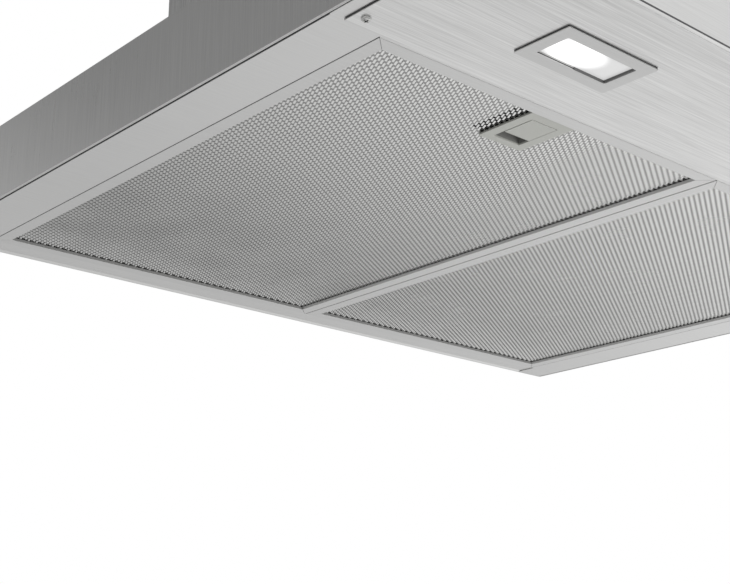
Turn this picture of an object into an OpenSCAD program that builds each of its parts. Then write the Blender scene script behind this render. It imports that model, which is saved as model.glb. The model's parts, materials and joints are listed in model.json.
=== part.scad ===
// Wall-mounted chimney range hood, 60 cm: a flat steel canopy, two grease filters,
// two lamps, five push buttons, a blower with its outlet and a telescoping chimney.
// Frame: +Z up, the front faces -Y, the wall is the plane y = 0, and z = 0 is the underside.

/* [Canopy] */
// Width of the canopy
canopy_w = 600; // [560:10:900]
// Depth of the canopy, from the wall to its front face
canopy_d = 500; // [470:5:560]
// Height of the canopy's skirt
canopy_h = 50; // [46:1:90]
// Thickness of the steel sheet
sheet = 1.0; // [0.8:0.1:1.4]
// Gap between the skirt and the underside pan
pan_gap = 1.2; // [0.4:0.1:1.6]
// Height of the pan's outer flange
pan_flange = 9; // [6:1:10]
// Height of the lip round the filter opening
lip_h = 12; // [10:1:20]

/* [Underside] */
// Width of the strip beside the filters
side_strip = 33.4; // [28:0.2:60]
// Depth of the strip in front of the filters
front_strip = 98.4; // [92:0.2:120]
// Depth of the strip behind the filters
back_strip = 19.4; // [18:0.2:30]
// Thickness of the lamp panel, which lies under the pan
panel_t = 1.0; // [0.8:0.1:1.5]
// Distance from the skirt to the lamp panel's end
panel_inset = 10; // [6:0.5:16]
// Distance from the filter opening to the lamp panel
panel_gap = 2.4; // [1:0.2:4]
// Height that the back rail stands above the pan's face
rail_rise = 0.8; // [0.4:0.1:1.5]
// Height of the back rail's upstand
rail_h = 14; // [10:1:24]
// Width of the bar over the joint between the filters
bar_w = 30; // [20:1:50]
// Height of that bar
bar_h = 6; // [4:0.5:12]
// Radius of a panel screw's head
screw_head_r = 2.4; // [2.2:0.05:3.5]
// Radius of a panel screw's shank
screw_r = 1.6; // [1.2:0.1:2]

/* [Grease filters] */
// Thickness of a filter cassette
filter_t = 9.5; // [8.5:0.1:11]
// Width of the filter frame's face at the sides
frame_side = 9; // [7:0.2:14]
// Width of the filter frame's face at the front and back
frame_end = 8.4; // [7:0.2:14]
// Wall of the filter frame's channel
frame_wall = 0.8; // [0.6:0.1:1.2]
// Gap round a filter in its opening
filter_gap = 0.6; // [0.4:0.1:1]
// Depth of the mesh behind the frame's face
mesh_recess = 2.8; // [1.8:0.1:3]
// Thickness of the outer mesh sheet
mesh_t = 0.9; // [0.8:0.1:1.4]
// Thickness of an inner mesh layer
layer_t = 0.5; // [0.3:0.1:0.8]
// Long pitch of the expanded diamonds, across the hood
diamond_x = 5.95; // [4:0.05:9]
// Short pitch of the expanded diamonds, front to back
diamond_y = 3.61; // [2.6:0.05:6]
// Width of a rear hook
hook_w = 18; // [12:1:30]
// Reach of a rear hook over the back rail
hook_reach = 10; // [6:0.5:13]
// Thickness of a rear hook
hook_t = 1.0; // [0.8:0.1:1.5]
// Gap between the filter and the back rail
tilt_gap = 0.5; // [0.4:0.1:1]

/* [Filter latch] */
// Width of the latch's plastic surround
latch_w = 33.4; // [30:0.2:50]
// Length of the latch's plastic surround
latch_l = 40.4; // [38:0.2:60]
// Width of the finger pocket
pocket_w = 20.2; // [16:0.2:26]
// Length of the finger pocket
pocket_l = 27.8; // [27:0.2:32]
// Distance from the surround's front edge to the pocket
pocket_edge = 7.6; // [6.6:0.2:10]
// Length of the sliding plate
slide_l = 19.8; // [14:0.2:19.8]
// Width of the latch tongue
tongue_w = 12; // [8:0.5:14]
// Travel of the latch
latch_travel = 6; // [3:0.5:6]
// Length of the latch's spring when it is squeezed flat
spring_solid = 3; // [2.5:0.5:4]

/* [Lamps] */
// Distance from the canopy's side to a lamp's middle
lamp_from_side = 121; // [100:1:150]
// Distance from the canopy's front face to a lamp's middle
lamp_from_front = 48.8; // [42:0.2:56]
// Width of the lamp's bezel
bezel_w = 65.8; // [64:0.2:90]
// Depth of the lamp's bezel
bezel_d = 34.2; // [32:0.2:50]
// Thickness of the bezel's flange
bezel_t = 1.0; // [0.6:0.1:1.6]
// Width of the lit window
window_w = 50; // [40:0.5:50]
// Depth of the lit window
window_d = 19.5; // [14:0.5:20]
// Height of the lamp housing above the pan's face
lamp_h = 18; // [14:0.5:30]
// Width of the lamp driver
driver_w = 76; // [50:1:110]
// Depth of the lamp driver
driver_d = 42; // [30:1:44]
// Height of the lamp driver
driver_h = 24; // [16:1:40]

/* [Controls] */
// Spacing of the push buttons
button_pitch = 22; // [18:0.5:26]
// Width of a push button
button_w = 14; // [10:0.5:15]
// Height of a push button
button_h = 10; // [8:0.5:14]
// How far a push button stands out of its plate
button_out = 1.6; // [1.6:0.1:3]
// Travel of a push button
button_travel = 1.5; // [0.8:0.1:1.5]
// Height of the button plate
plate_h = 24; // [22:1:30]
// Thickness of the button plate
plate_t = 0.8; // [0.6:0.1:1.5]

/* [Chimney] */
// Width of the lower chimney cover
chimney_w = 254; // [250:1:320]
// Depth of the lower chimney cover
chimney_d = 225; // [222:1:280]
// Length of each chimney cover
chimney_len = 582; // [460:2:700]
// How far the upper cover is drawn out at rest
chimney_out = 118; // [20:2:200]
// Gap between the two chimney covers
chimney_gap = 0.5; // [0.3:0.1:0.9]
// Width of the covers' rear return flanges
return_w = 14; // [8:1:14]
// Number of air slots on each side of the upper cover
slot_count = 8; // [0:1:10]
// Length of an air slot
slot_l = 90; // [40:5:140]
// Width of an air slot
slot_w = 3.5; // [2.5:0.5:4]
// Spacing of the air slots
slot_pitch = 9; // [7:0.5:12]
// Height of the wall bracket's strip
bracket_h = 20; // [14:1:30]
// Thickness of the wall bracket
bracket_t = 2; // [1.5:0.5:3]

/* [Blower] */
// Width of the blower box
box_w = 212; // [210:1:216]
// Depth of the blower box
box_d = 214; // [212:1:216]
// Height of the blower box
box_h = 280; // [260:2:340]
// Radius of the impeller
impeller_r = 64; // [56:1:67]
// Length of the impeller on each side of its disc
impeller_l = 45; // [36:1:48]
// Number of blades on each side
blade_count = 32; // [12:2:40]
// Radial depth of a blade
blade_d = 13; // [8:0.5:16]
// Thickness of a blade
blade_t = 0.8; // [0.6:0.1:1.2]
// Radius of the impeller shaft
shaft_r = 4; // [3:0.25:6]
// Radius of the motor
motor_r = 36; // [28:1:38]
// Length of the motor
motor_l = 44; // [34:1:46]
// Wall of the scroll housing
scroll_wall = 2; // [1.5:0.25:3]
// Radius of the air inlet on each side of the scroll
inlet_r = 54; // [46:1:56]
// Radius of the motor's capacitor
capacitor_r = 15; // [10:0.5:16]
// Length of the motor's capacitor
capacitor_l = 60; // [40:1:70]
// Width of the terminal box
terminal_w = 44; // [40:1:46]
// Depth of the terminal box
terminal_d = 40; // [30:1:44]
// Height of the terminal box
terminal_h = 26; // [22:1:40]

/* [Outlet] */
// Outside radius of the outlet collar, for a 150 mm duct
collar_r = 74.5; // [70:0.5:76]
// Length of the outlet collar
collar_l = 45; // [38:1:70]
// Wall of the outlet collar
collar_wall = 2; // [1.5:0.25:3]
// Radius of the flap's rod
rod_r = 1.5; // [1.2:0.1:2]
// Running clearance of the flap's knuckles on the rod
rod_gap = 0.08; // [0.05:0.01:0.1]
// Thickness of a flap
flap_t = 1.5; // [1:0.1:2.5]

/* [Wall fixing] */
// Radius of a wall screw hole
wall_hole_r = 4; // [3:0.25:5]
// Spacing of the wall screw holes across the hood
wall_hole_x = 170; // [150:5:180]
// Vertical spacing of the blower box's wall screw holes
wall_hole_z = 220; // [180:5:230]
// Spacing of the canopy's wall screw holes
low_hole_x = 300; // [240:10:500]
// Thickness of the blower box's back plate
wall_plate = 1.5; // [1.2:0.1:2.5]

/* [Hidden] */
$fn = 64;
LEFT = -1;
RIGHT = 1;
steel = [0.78, 0.78, 0.78];
zinc = [0.66, 0.68, 0.70];
aluminium = [0.72, 0.72, 0.71];
plastic_grey = [0.69, 0.69, 0.67];
plastic_dark = [0.22, 0.22, 0.23];
plastic_white = [0.86, 0.86, 0.85];
overrun = 1;
seat = 0.3;

// Plan of the canopy and the underside
half_w = canopy_w / 2;
skirt_in = half_w - sheet;
front_in = canopy_d - sheet;
pan_half = skirt_in - pan_gap;
pan_front = front_in - pan_gap;
back_t = 1.2;
open_half = half_w - side_strip;
open_front = canopy_d - front_strip;
rail_gap = 0.2;
rail_front = back_strip - rail_gap;
rail_over = 2.6;
rail_half = open_half + rail_over;
rail_slot = 0.4;
rail_top = rail_rise + sheet;
panel_half = half_w - panel_inset;
panel_back = open_front + panel_gap;
panel_screw_end = 6;
panel_screw_edge = 8;
panel_screw_x = panel_half - panel_screw_end;
panel_screw_y = panel_back + panel_screw_edge;
screw_head_h = 1.6;
screw_clear = 0.15;
screw_l = 6;

// Filter cassette, drawn for the left side
fit_out = open_half - filter_gap;
fit_in = 0.4;
fit_front = open_front - filter_gap;
fit_back = rail_front + tilt_gap;
mesh_out = fit_out - frame_side;
mesh_in = fit_in + frame_side;
mesh_front = fit_front - frame_end;
mesh_back = fit_back + frame_end;
mesh_edge = 0.4;
fit_mid = (fit_out + fit_in) / 2;
bar_clear = 0.8;
bar_z = filter_t + bar_clear;
hook_plate = 0.6;
hook_spread = 0.28 * (fit_out - fit_in);

// Latch
latch_face = 1;
latch_front = mesh_front;
latch_back = latch_front - latch_l;
latch_wall = 1.2;
latch_top = filter_t - latch_wall;
latch_seat = 0.2;
pocket_front = latch_front - pocket_edge;
pocket_back = pocket_front - pocket_l;
pocket_roof = latch_top - latch_wall;
slide_step = 0.6;
slide_face = latch_face + slide_step;
slide_t = 2;
slide_clear = 0.2;
slide_front = pocket_front - slide_clear;
slide_back = slide_front - slide_l;
tongue_z = slide_face + slide_t;
tongue_t = 2;
tongue_top = tongue_z + tongue_t + slide_clear;
tongue_tip = fit_front + seat;
post_back = slide_back + slide_clear;
post_t = 1.4;
post_front = post_back + post_t;
spring_l = latch_travel + spring_solid;
tongue_root = post_front + spring_l;
spring_wire = 0.5;
spring_r = (pocket_roof - tongue_z) / 2 - seat;
strike_side = 1.5;
strike_clear = 0.8;
strike_w = tongue_w + 2 * strike_side;
strike_low = tongue_z - strike_clear;
strike_h = tongue_t + 2 * strike_clear;

// Lamps
lamp_x = half_w - lamp_from_side;
lamp_y = canopy_d - lamp_from_front;
bezel_side = 4;
bezel_end = 3.4;
cut_clear = 0.5;
cut_w = bezel_w - 2 * bezel_side;
cut_d = bezel_d - 2 * bezel_end;
house_w = cut_w - 2 * cut_clear;
house_d = cut_d - 2 * cut_clear;
house_wall = 1.2;
lens_t = 2.5;
lens_step = 0.5;
board_t = 1.6;
chip_r = 6;
clip_t = 0.5;
clip_w = 12;
clip_down = 2;
driver_gap = 5;
driver_back = open_front + sheet + driver_gap;

// Controls
button_count = 5;
plate_side = 11;
plate_w = (button_count - 1) * button_pitch + button_w + 2 * plate_side;
button_z = canopy_h / 2;
hole_gap = 0.3;
button_face = canopy_d + plate_t + button_out;
flange_t = 1.2;
flange_over = 1.5;
case_side = 4;
case_over = 0.5;
case_w = plate_w - 2 * case_side;
case_h = plate_h + 2 * case_over;
case_d = 24;
case_wall = 2;
stem = 4;
switch_size = 6;
switch_depth = 4;
plunger_l = 5;
switch_room = 6;
switch_plane = case_d - switch_room;

// Chimney covers
cover_half = chimney_w / 2;
upper_half = cover_half - sheet - chimney_gap;
upper_front = chimney_d - sheet - chimney_gap;
upper_wall = 0.8;
upper_back_gap = 0.4;
upper_back = sheet + upper_back_gap;
upper_lift = 10;
upper_z = canopy_h + chimney_out + upper_lift;
upper_top = upper_z + chimney_len;
slot_top = 30;
bracket_down = 4;
bracket_top = upper_top - bracket_down;
bracket_clear = 1;
bracket_half = upper_half - return_w - bracket_clear;
bracket_tab = 30;
tab_l = 20;
cover_screw_r = 1.9;
cover_screw_y = bracket_tab + tab_l / 2;
cover_screw_z = bracket_top - bracket_h / 2;

// Blower box and scroll
box_half = box_w / 2;
box_z = canopy_h;
box_top = box_z + box_h;
foot_w = 7;
box_screw_r = 2;
collar_y = box_d / 2;
collar_in = collar_r - collar_wall;
throat_step = 2;
throat_half = collar_in - throat_step;
scroll_side = 17;
scroll_half = impeller_l + scroll_side;
scroll_tongue = 5;
scroll_start = impeller_r + scroll_tongue;
scroll_growth = 18;
axis_y = collar_y + throat_half - scroll_start - scroll_growth;
axis_rise = 105;
axis_z = box_z + axis_rise;
capacitor_rise = 110;
terminal_side = 1;
terminal_back = 2;
terminal_wall = 2;
terminal_size = [terminal_w, terminal_d, terminal_h];
terminal_low = [box_half - terminal_w - terminal_side, -terminal_d - terminal_back, box_top];

// Impeller and motor
disc_t = 1.5;
ring_t = 2;
ring_d = 4;
hub_r = 9;
hub_l = 14;
shaft_gap = 0.05;
motor_gap = 3;
motor_x = hub_l / 2 + motor_gap;
bearing_l = 2;
arm_t = 3;
arm_w = 12;
arm_over = 12;
gland_r = 6;

// Outlet
rod_rise = 13;
rod_z = box_top + rod_rise;
collar_base = 3;
collar_flange = 8;
flap_clear = 0.7;
flap_r = collar_in - flap_clear;
knuckle_r = 3;
knuckle_l = 18;
knuckle_pitch = 25;
knuckle_clear = 0.6;
stop_t = 3;

// Draws a part that is modelled for the left side on the side asked for
module on_side(side) {
    mirror([side == RIGHT ? 1 : 0, 0, 0]) children();
}

// A block given by its lowest and highest corner
module block(low, high) {
    translate(low) cube(high - low);
}

// A block with its vertical corners rounded
module round_block(low, high, r) {
    size = high - low;
    translate(low) linear_extrude(size[2]) union() {
        translate([r, 0]) square([size[0] - 2 * r, size[1]]);
        translate([0, r]) square([size[0], size[1] - 2 * r]);
        for (x = [r, size[0] - r], y = [r, size[1] - r]) translate([x, y]) circle(r);
    }
}

// A cylinder along X, centred on its middle
module rod_x(r, l) {
    rotate([0, 90, 0]) cylinder(r = r, h = l, center = true);
}

// An outline in the plane of Y and Z, drawn out along X
module along_x(x0, x1) {
    translate([x0, 0, 0]) rotate([90, 0, 90]) linear_extrude(x1 - x0) children();
}

// Outer shell: top sheet and three sides of the skirt
module canopy_shell() {
    corner_r = 2;
    mouth_half = box_half - foot_w + 1;
    window_half = (plate_w - 14) / 2;
    window_half_h = button_h / 2 + 3;
    color(steel) difference() {
        union() {
            round_block([-half_w, -canopy_d, 0], [half_w, -canopy_d + 3 * corner_r, canopy_h], corner_r);
            block([-half_w, -canopy_d + corner_r, 0], [half_w, 0, canopy_h]);
        }
        block([-skirt_in, -front_in, -overrun], [skirt_in, overrun, canopy_h - sheet]);
        block([-mouth_half, -box_d + foot_w, canopy_h - 2 * sheet],
              [mouth_half, -foot_w, canopy_h + overrun]);
        block([-window_half, -canopy_d - overrun, button_z - window_half_h],
              [window_half, -front_in + overrun, button_z + window_half_h]);
        at_box_screws() translate([0, 0, -2 * sheet]) cylinder(r = box_screw_r, h = 4 * sheet);
    }
}

// Back panel, whose rear face lies on the wall
module canopy_back() {
    color(zinc) difference() {
        block([-skirt_in, -back_t, 0], [skirt_in, 0, canopy_h - sheet]);
        for (x = [-low_hole_x / 2, low_hole_x / 2])
            translate([x, -back_t / 2, canopy_h / 2]) rotate([90, 0, 0])
                cylinder(r = wall_hole_r, h = back_t + 2 * overrun, center = true);
    }
}

// Underside pan: side and front strips with the lip round the filter opening
module base_pan() {
    color(steel) difference() {
        union() {
            block([-pan_half, -pan_front, 0], [pan_half, -back_t, sheet]);
            for (side = [LEFT, RIGHT]) on_side(side) {
                block([-pan_half, -pan_front, 0], [-pan_half + sheet, -back_t, pan_flange]);
                block([-open_half - sheet, -open_front - sheet, 0], [-open_half, -back_strip, lip_h]);
            }
            block([-pan_half, -pan_front, 0], [pan_half, -pan_front + sheet, pan_flange]);
            block([-open_half - sheet, -open_front - sheet, 0], [open_half + sheet, -open_front, lip_h]);
        }
        block([-open_half, -open_front, -overrun], [open_half, overrun, sheet + overrun]);
        block([-rail_half - rail_slot, -back_strip, -overrun],
              [rail_half + rail_slot, overrun, lip_h + overrun]);
        for (side = [LEFT, RIGHT]) on_side(side) {
            translate([-lamp_x, -lamp_y, 0]) cube([cut_w, cut_d, 4 * sheet], center = true);
            translate([-panel_screw_x, -panel_screw_y, -overrun])
                cylinder(r = screw_r + screw_clear, h = sheet + 2 * overrun);
            block([-fit_mid - strike_w / 2, -open_front - sheet - overrun, strike_low],
                  [-fit_mid + strike_w / 2, -open_front + overrun, strike_low + strike_h]);
        }
    }
}

// Lamp panel, the separate sheet under the front of the pan
module lamp_panel() {
    color(steel) difference() {
        block([-panel_half, -pan_front, -panel_t], [panel_half, -panel_back, 0]);
        for (side = [LEFT, RIGHT]) on_side(side) {
            translate([-lamp_x, -lamp_y, 0]) cube([cut_w, cut_d, 4 * panel_t], center = true);
            translate([-panel_screw_x, -panel_screw_y, -panel_t - overrun])
                cylinder(r = screw_r + screw_clear, h = panel_t + 2 * overrun);
        }
    }
}

// Back rail, on which the filters' rear hooks rest
module back_rail() {
    color(steel) union() {
        block([-rail_half, -rail_front, rail_rise], [rail_half, -back_t, rail_top]);
        block([-rail_half, -back_t - sheet, rail_rise], [rail_half, -back_t, rail_h]);
    }
}

// Channel over the joint between the two filters
module centre_bar() {
    front = open_front;
    back = back_t + sheet;
    color(zinc) difference() {
        block([-bar_w / 2, -front, bar_z], [bar_w / 2, -back, bar_z + bar_h]);
        block([-bar_w / 2 + sheet, -front - overrun, bar_z + sheet],
              [bar_w / 2 - sheet, -back + overrun, bar_z + bar_h + overrun]);
    }
}

// Two cross-recessed screws that hold the lamp panel
module panel_screws() {
    cross_l = 2.8;
    cross_w = 0.7;
    cross_t = 0.8;
    head_slope = 0.5;
    color(steel) for (side = [LEFT, RIGHT]) on_side(side)
        translate([-panel_screw_x, -panel_screw_y, -panel_t]) difference() {
            union() {
                translate([0, 0, -screw_head_h])
                    cylinder(r1 = screw_head_r - head_slope, r2 = screw_head_r, h = screw_head_h);
                cylinder(r = screw_r, h = screw_l);
            }
            for (turn = [0, 90]) rotate(turn)
                block([-cross_l / 2, -cross_w / 2, -screw_head_h - overrun],
                      [cross_l / 2, cross_w / 2, cross_t - screw_head_h]);
        }
}

// Filter frame: a mitred channel round the mesh
module filter_frame(side) {
    color(aluminium) on_side(side) difference() {
        block([-fit_out, -fit_front, 0], [-fit_in, -fit_back, filter_t]);
        block([-mesh_out, -mesh_front, -overrun], [-mesh_in, -mesh_back, filter_t + overrun]);
        block([-fit_out + frame_wall, -fit_front + frame_wall, mesh_recess],
              [-fit_in - frame_wall, -fit_back - frame_wall, filter_t - frame_wall]);
        block([-fit_mid - tongue_w / 2 - slide_clear, -fit_front - overrun, tongue_z - slide_clear],
              [-fit_mid + tongue_w / 2 + slide_clear, -fit_front + frame_wall + overrun, tongue_top]);
    }
}

// A sheet that fills the frame's channel, with room for the latch
module channel_sheet(low, high) {
    difference() {
        block([-fit_out + frame_wall + mesh_edge, -fit_front + frame_wall + mesh_edge, low],
              [-fit_in - frame_wall - mesh_edge, -fit_back - frame_wall - mesh_edge, high]);
        block([-fit_mid - latch_w / 2 - latch_seat, -fit_front, low - overrun],
              [-fit_mid + latch_w / 2 + latch_seat, -latch_back + latch_seat, high + overrun]);
    }
}

// Outer mesh sheet, with a ridge along each slanted row of the expanded diamonds
module filter_mesh(side) {
    slant = atan2(diamond_y, diamond_x);
    pitch = diamond_y * cos(slant);
    ridge = 0.55 * mesh_t;
    low = mesh_recess;
    high = mesh_recess + mesh_t;
    reach = norm([fit_out, fit_front]) / 2;
    rows = ceil(reach / pitch);
    edge = [for (i = [-2 * rows : 2 * rows]) [i * pitch / 2, low + (i % 2 == 0 ? ridge : 0)]];
    outline = concat(edge, [[rows * pitch, high], [-rows * pitch, high]]);
    color(aluminium) intersection() {
        on_side(side) channel_sheet(low, high);
        translate([side * fit_mid, -(fit_front + fit_back) / 2, 0]) rotate(slant)
            along_x(-reach, reach) polygon(outline);
    }
}

// Two inner mesh layers, which fill the frame behind the outer sheet
module filter_layers(side) {
    low = mesh_recess + mesh_t;
    room = filter_t - frame_wall - low;
    color(aluminium) on_side(side) for (share = [1 / 3, 2 / 3])
        channel_sheet(low + share * room - layer_t / 2, low + share * room + layer_t / 2);
}

// Two rear hooks that rest on the back rail and let the filter tilt
module filter_hooks(side) {
    low = rail_top + seat;
    color(zinc) on_side(side) for (x = [-fit_mid - hook_spread, -fit_mid + hook_spread]) {
        block([x - hook_w / 2, -fit_back, low], [x + hook_w / 2, -fit_back + hook_plate, filter_t - 1]);
        block([x - hook_w / 2, -fit_back, low], [x + hook_w / 2, -fit_back + hook_reach, low + hook_t]);
    }
}

// Plastic surround with the finger pocket and the spring's post
module latch_surround(side) {
    post_w = 5;
    color(plastic_grey) on_side(side) translate([-fit_mid, 0, 0]) union() {
        difference() {
            round_block([-latch_w / 2, -latch_front, latch_face], [latch_w / 2, -latch_back, latch_top], 1);
            block([-pocket_w / 2, -pocket_front, latch_face - overrun],
                  [pocket_w / 2, -pocket_back, pocket_roof]);
            block([-tongue_w / 2 - slide_clear, -latch_front - overrun, tongue_z - slide_clear],
                  [tongue_w / 2 + slide_clear, -pocket_front + overrun, tongue_top]);
        }
        block([-post_w / 2, -post_front, tongue_z + slide_clear],
              [post_w / 2, -post_back, pocket_roof + seat]);
    }
}

// Sliding plate with its tongue
module latch_slide(side) {
    color(plastic_grey) on_side(side) translate([-fit_mid, 0, 0]) union() {
        block([-pocket_w / 2 + slide_clear, -slide_front, slide_face],
              [pocket_w / 2 - slide_clear, -slide_back, tongue_z]);
        block([-tongue_w / 2, -tongue_tip, tongue_z], [tongue_w / 2, -tongue_root, tongue_z + tongue_t]);
    }
}

// Spring between the post and the tongue
module latch_spring(side) {
    color(zinc) on_side(side) translate([-fit_mid, -post_front, tongue_z + spring_r + slide_clear])
        rotate([90, 0, 0]) difference() {
            cylinder(r = spring_r, h = spring_l, $fn = 24);
            translate([0, 0, -overrun])
                cylinder(r = spring_r - spring_wire, h = spring_l + 2 * overrun, $fn = 24);
        }
}

// Lamp bezel: a flange on the panel and a collar into the cut-out
module lamp_bezel(side) {
    face = -panel_t - bezel_t;
    color(steel) on_side(side) translate([-lamp_x, -lamp_y, 0]) difference() {
        union() {
            block([-bezel_w / 2, -bezel_d / 2, face], [bezel_w / 2, bezel_d / 2, -panel_t]);
            block([-house_w / 2, -house_d / 2, face], [house_w / 2, house_d / 2, 0]);
        }
        block([-window_w / 2, -window_d / 2, face - overrun], [window_w / 2, window_d / 2, overrun]);
    }
}

// Frosted lens on the bezel's collar, stepped down into the window
module lamp_lens(side) {
    edge = house_wall + seat;
    color("white") on_side(side) translate([-lamp_x, -lamp_y, 0]) union() {
        block([-house_w / 2 + edge, -house_d / 2 + edge, 0],
              [house_w / 2 - edge, house_d / 2 - edge, lens_t]);
        block([-window_w / 2 + seat, -window_d / 2 + seat, -lens_step],
              [window_w / 2 - seat, window_d / 2 - seat, overrun]);
    }
}

// Plastic lamp housing
module lamp_housing(side) {
    color(plastic_white) on_side(side) translate([-lamp_x, -lamp_y, 0]) difference() {
        block([-house_w / 2, -house_d / 2, 0], [house_w / 2, house_d / 2, lamp_h]);
        block([-house_w / 2 + house_wall, -house_d / 2 + house_wall, -overrun],
              [house_w / 2 - house_wall, house_d / 2 - house_wall, lamp_h - 2 * house_wall]);
    }
}

// Lamp board with its light-emitting chip
module lamp_board(side) {
    top = lamp_h - 2 * house_wall;
    chip_t = 1.2;
    color(plastic_white) on_side(side) translate([-lamp_x, -lamp_y, 0]) union() {
        block([-house_w / 2 + 3, -house_d / 2 + 3, top - board_t], [house_w / 2 - 3, house_d / 2 - 3, top]);
        translate([0, 0, top - board_t - chip_t]) cylinder(r = chip_r, h = chip_t);
    }
}

// Spring clips that hold the lamp against the pan
module lamp_clips(side) {
    foot_l = 8;
    low = sheet + seat;
    color(zinc) on_side(side) for (turn = [0, 180]) translate([-lamp_x, -lamp_y, 0]) rotate(turn) {
        block([house_w / 2, -clip_w / 2, low], [house_w / 2 + clip_t, clip_w / 2, lamp_h - clip_down]);
        block([house_w / 2, -clip_w / 2, low], [house_w / 2 + foot_l, clip_w / 2, low + clip_t]);
    }
}

// Driver that feeds both lamps
module lamp_driver() {
    color(plastic_white) round_block([-driver_w / 2, -driver_back - driver_d, sheet],
                                     [driver_w / 2, -driver_back, sheet + driver_h], 3);
}

// Distance of a push button from the middle of the hood
function button_x(i) = (i - (button_count - 1) / 2) * button_pitch;

// Plate that frames the buttons on the front face
module button_plate() {
    color(steel) difference() {
        block([-plate_w / 2, -canopy_d - plate_t, button_z - plate_h / 2],
              [plate_w / 2, -canopy_d, button_z + plate_h / 2]);
        for (i = [0 : button_count - 1]) translate([button_x(i), -canopy_d - plate_t / 2, button_z])
            cube([button_w + 2 * hole_gap, plate_t + 2 * overrun, button_h + 2 * hole_gap], center = true);
    }
}

// One push button: cap, retaining flange and stem
module push_button(i) {
    flange_y = -canopy_d + seat;
    cap_back = flange_y + flange_t;
    stem_end = -front_in + switch_plane - plunger_l - button_travel - seat;
    color(plastic_grey) translate([button_x(i), 0, button_z]) union() {
        block([-button_w / 2, -button_face, -button_h / 2], [button_w / 2, cap_back, button_h / 2]);
        block([-button_w / 2 - flange_over, flange_y, -button_h / 2 - flange_over],
              [button_w / 2 + flange_over, cap_back, button_h / 2 + flange_over]);
        block([-stem / 2, cap_back - overrun, -stem / 2], [stem / 2, stem_end, stem / 2]);
    }
}

// Plastic case behind the buttons
module switch_case() {
    color(plastic_dark) difference() {
        block([-case_w / 2, -front_in, button_z - case_h / 2],
              [case_w / 2, -front_in + case_d, button_z + case_h / 2]);
        block([-case_w / 2 + case_wall, -front_in - overrun, button_z - case_h / 2 + case_wall],
              [case_w / 2 - case_wall, -front_in + case_d - case_wall, button_z + case_h / 2 - case_wall]);
    }
}

// Circuit board with one switch behind each button
module switch_board() {
    board_y = -front_in + switch_plane;
    plunger_r = 1.5;
    color("darkgreen") union() {
        block([-case_w / 2 + case_wall, board_y, button_z - case_h / 2 + case_wall],
              [case_w / 2 - case_wall, board_y + board_t, button_z + case_h / 2 - case_wall]);
        for (i = [0 : button_count - 1]) translate([button_x(i), board_y, button_z]) {
            block([-switch_size / 2, -switch_depth, -switch_size / 2], [switch_size / 2, 0, switch_size / 2]);
            rotate([90, 0, 0]) cylinder(r = plunger_r, h = plunger_l);
        }
    }
}

// A chimney cover: front, two sides and rear returns
module cover(half, front, back, low, high, wall) {
    difference() {
        block([-half, -front, low], [half, -back, high]);
        block([-half + wall, -front + wall, low - overrun], [half - wall, -back - wall, high + overrun]);
        block([-half + return_w, -back - 2 * wall, low - overrun],
              [half - return_w, -back + overrun, high + overrun]);
    }
}

// Lower chimney cover, standing on the canopy
module chimney_lower() {
    color(steel) cover(cover_half, chimney_d, 0, canopy_h, canopy_h + chimney_len, sheet);
}

// Upper chimney cover, with air slots in its sides
module chimney_upper() {
    color(steel) difference() {
        cover(upper_half, upper_front, upper_back, upper_z, upper_top, upper_wall);
        if (slot_count > 0) for (i = [0 : slot_count - 1])
            translate([0, -(upper_front + upper_back) / 2, upper_top - slot_top - i * slot_pitch])
                cube([2 * upper_half + 2 * overrun, slot_l, slot_w], center = true);
        translate([0, -cover_screw_y, cover_screw_z])
            rod_x(cover_screw_r + screw_clear, 2 * upper_half + 2 * overrun);
    }
}

// Wall bracket in the top of the upper cover: a wall strip, two arms and a screw tab at each side
module chimney_bracket() {
    tab_out = upper_half - upper_wall;
    wall_screw_x = 0.6 * bracket_half;
    color(zinc) translate([0, 0, bracket_top - bracket_h]) difference() {
        union() {
            block([-bracket_half, -bracket_t, 0], [bracket_half, 0, bracket_h]);
            for (side = [LEFT, RIGHT]) on_side(side) {
                block([-bracket_half, -bracket_tab, 0], [-bracket_half + bracket_t, 0, bracket_h]);
                block([-tab_out, -bracket_tab, 0],
                      [-bracket_half + bracket_t, -bracket_tab + bracket_t, bracket_h]);
                block([-tab_out, -bracket_tab - tab_l, 0],
                      [-tab_out + bracket_t, -bracket_tab + bracket_t, bracket_h]);
            }
        }
        translate([0, -cover_screw_y, bracket_h / 2]) rod_x(cover_screw_r, 2 * tab_out + 2 * overrun);
        for (x = [-wall_screw_x, wall_screw_x])
            translate([x, -bracket_t / 2, bracket_h / 2]) rotate([90, 0, 0])
                cylinder(r = wall_hole_r, h = bracket_t + 2 * overrun, center = true);
    }
}

// Two screws that hold the upper cover to its bracket
module cover_screws() {
    head_r = 3.5;
    head_t = 1.8;
    tail = upper_wall + bracket_t + 2;
    color(steel) for (side = [LEFT, RIGHT]) on_side(side)
        translate([-upper_half, -cover_screw_y, cover_screw_z]) rotate([0, 90, 0]) {
            translate([0, 0, -head_t]) cylinder(r1 = head_r - 1, r2 = head_r, h = head_t);
            cylinder(r = cover_screw_r, h = tail);
        }
}

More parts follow.
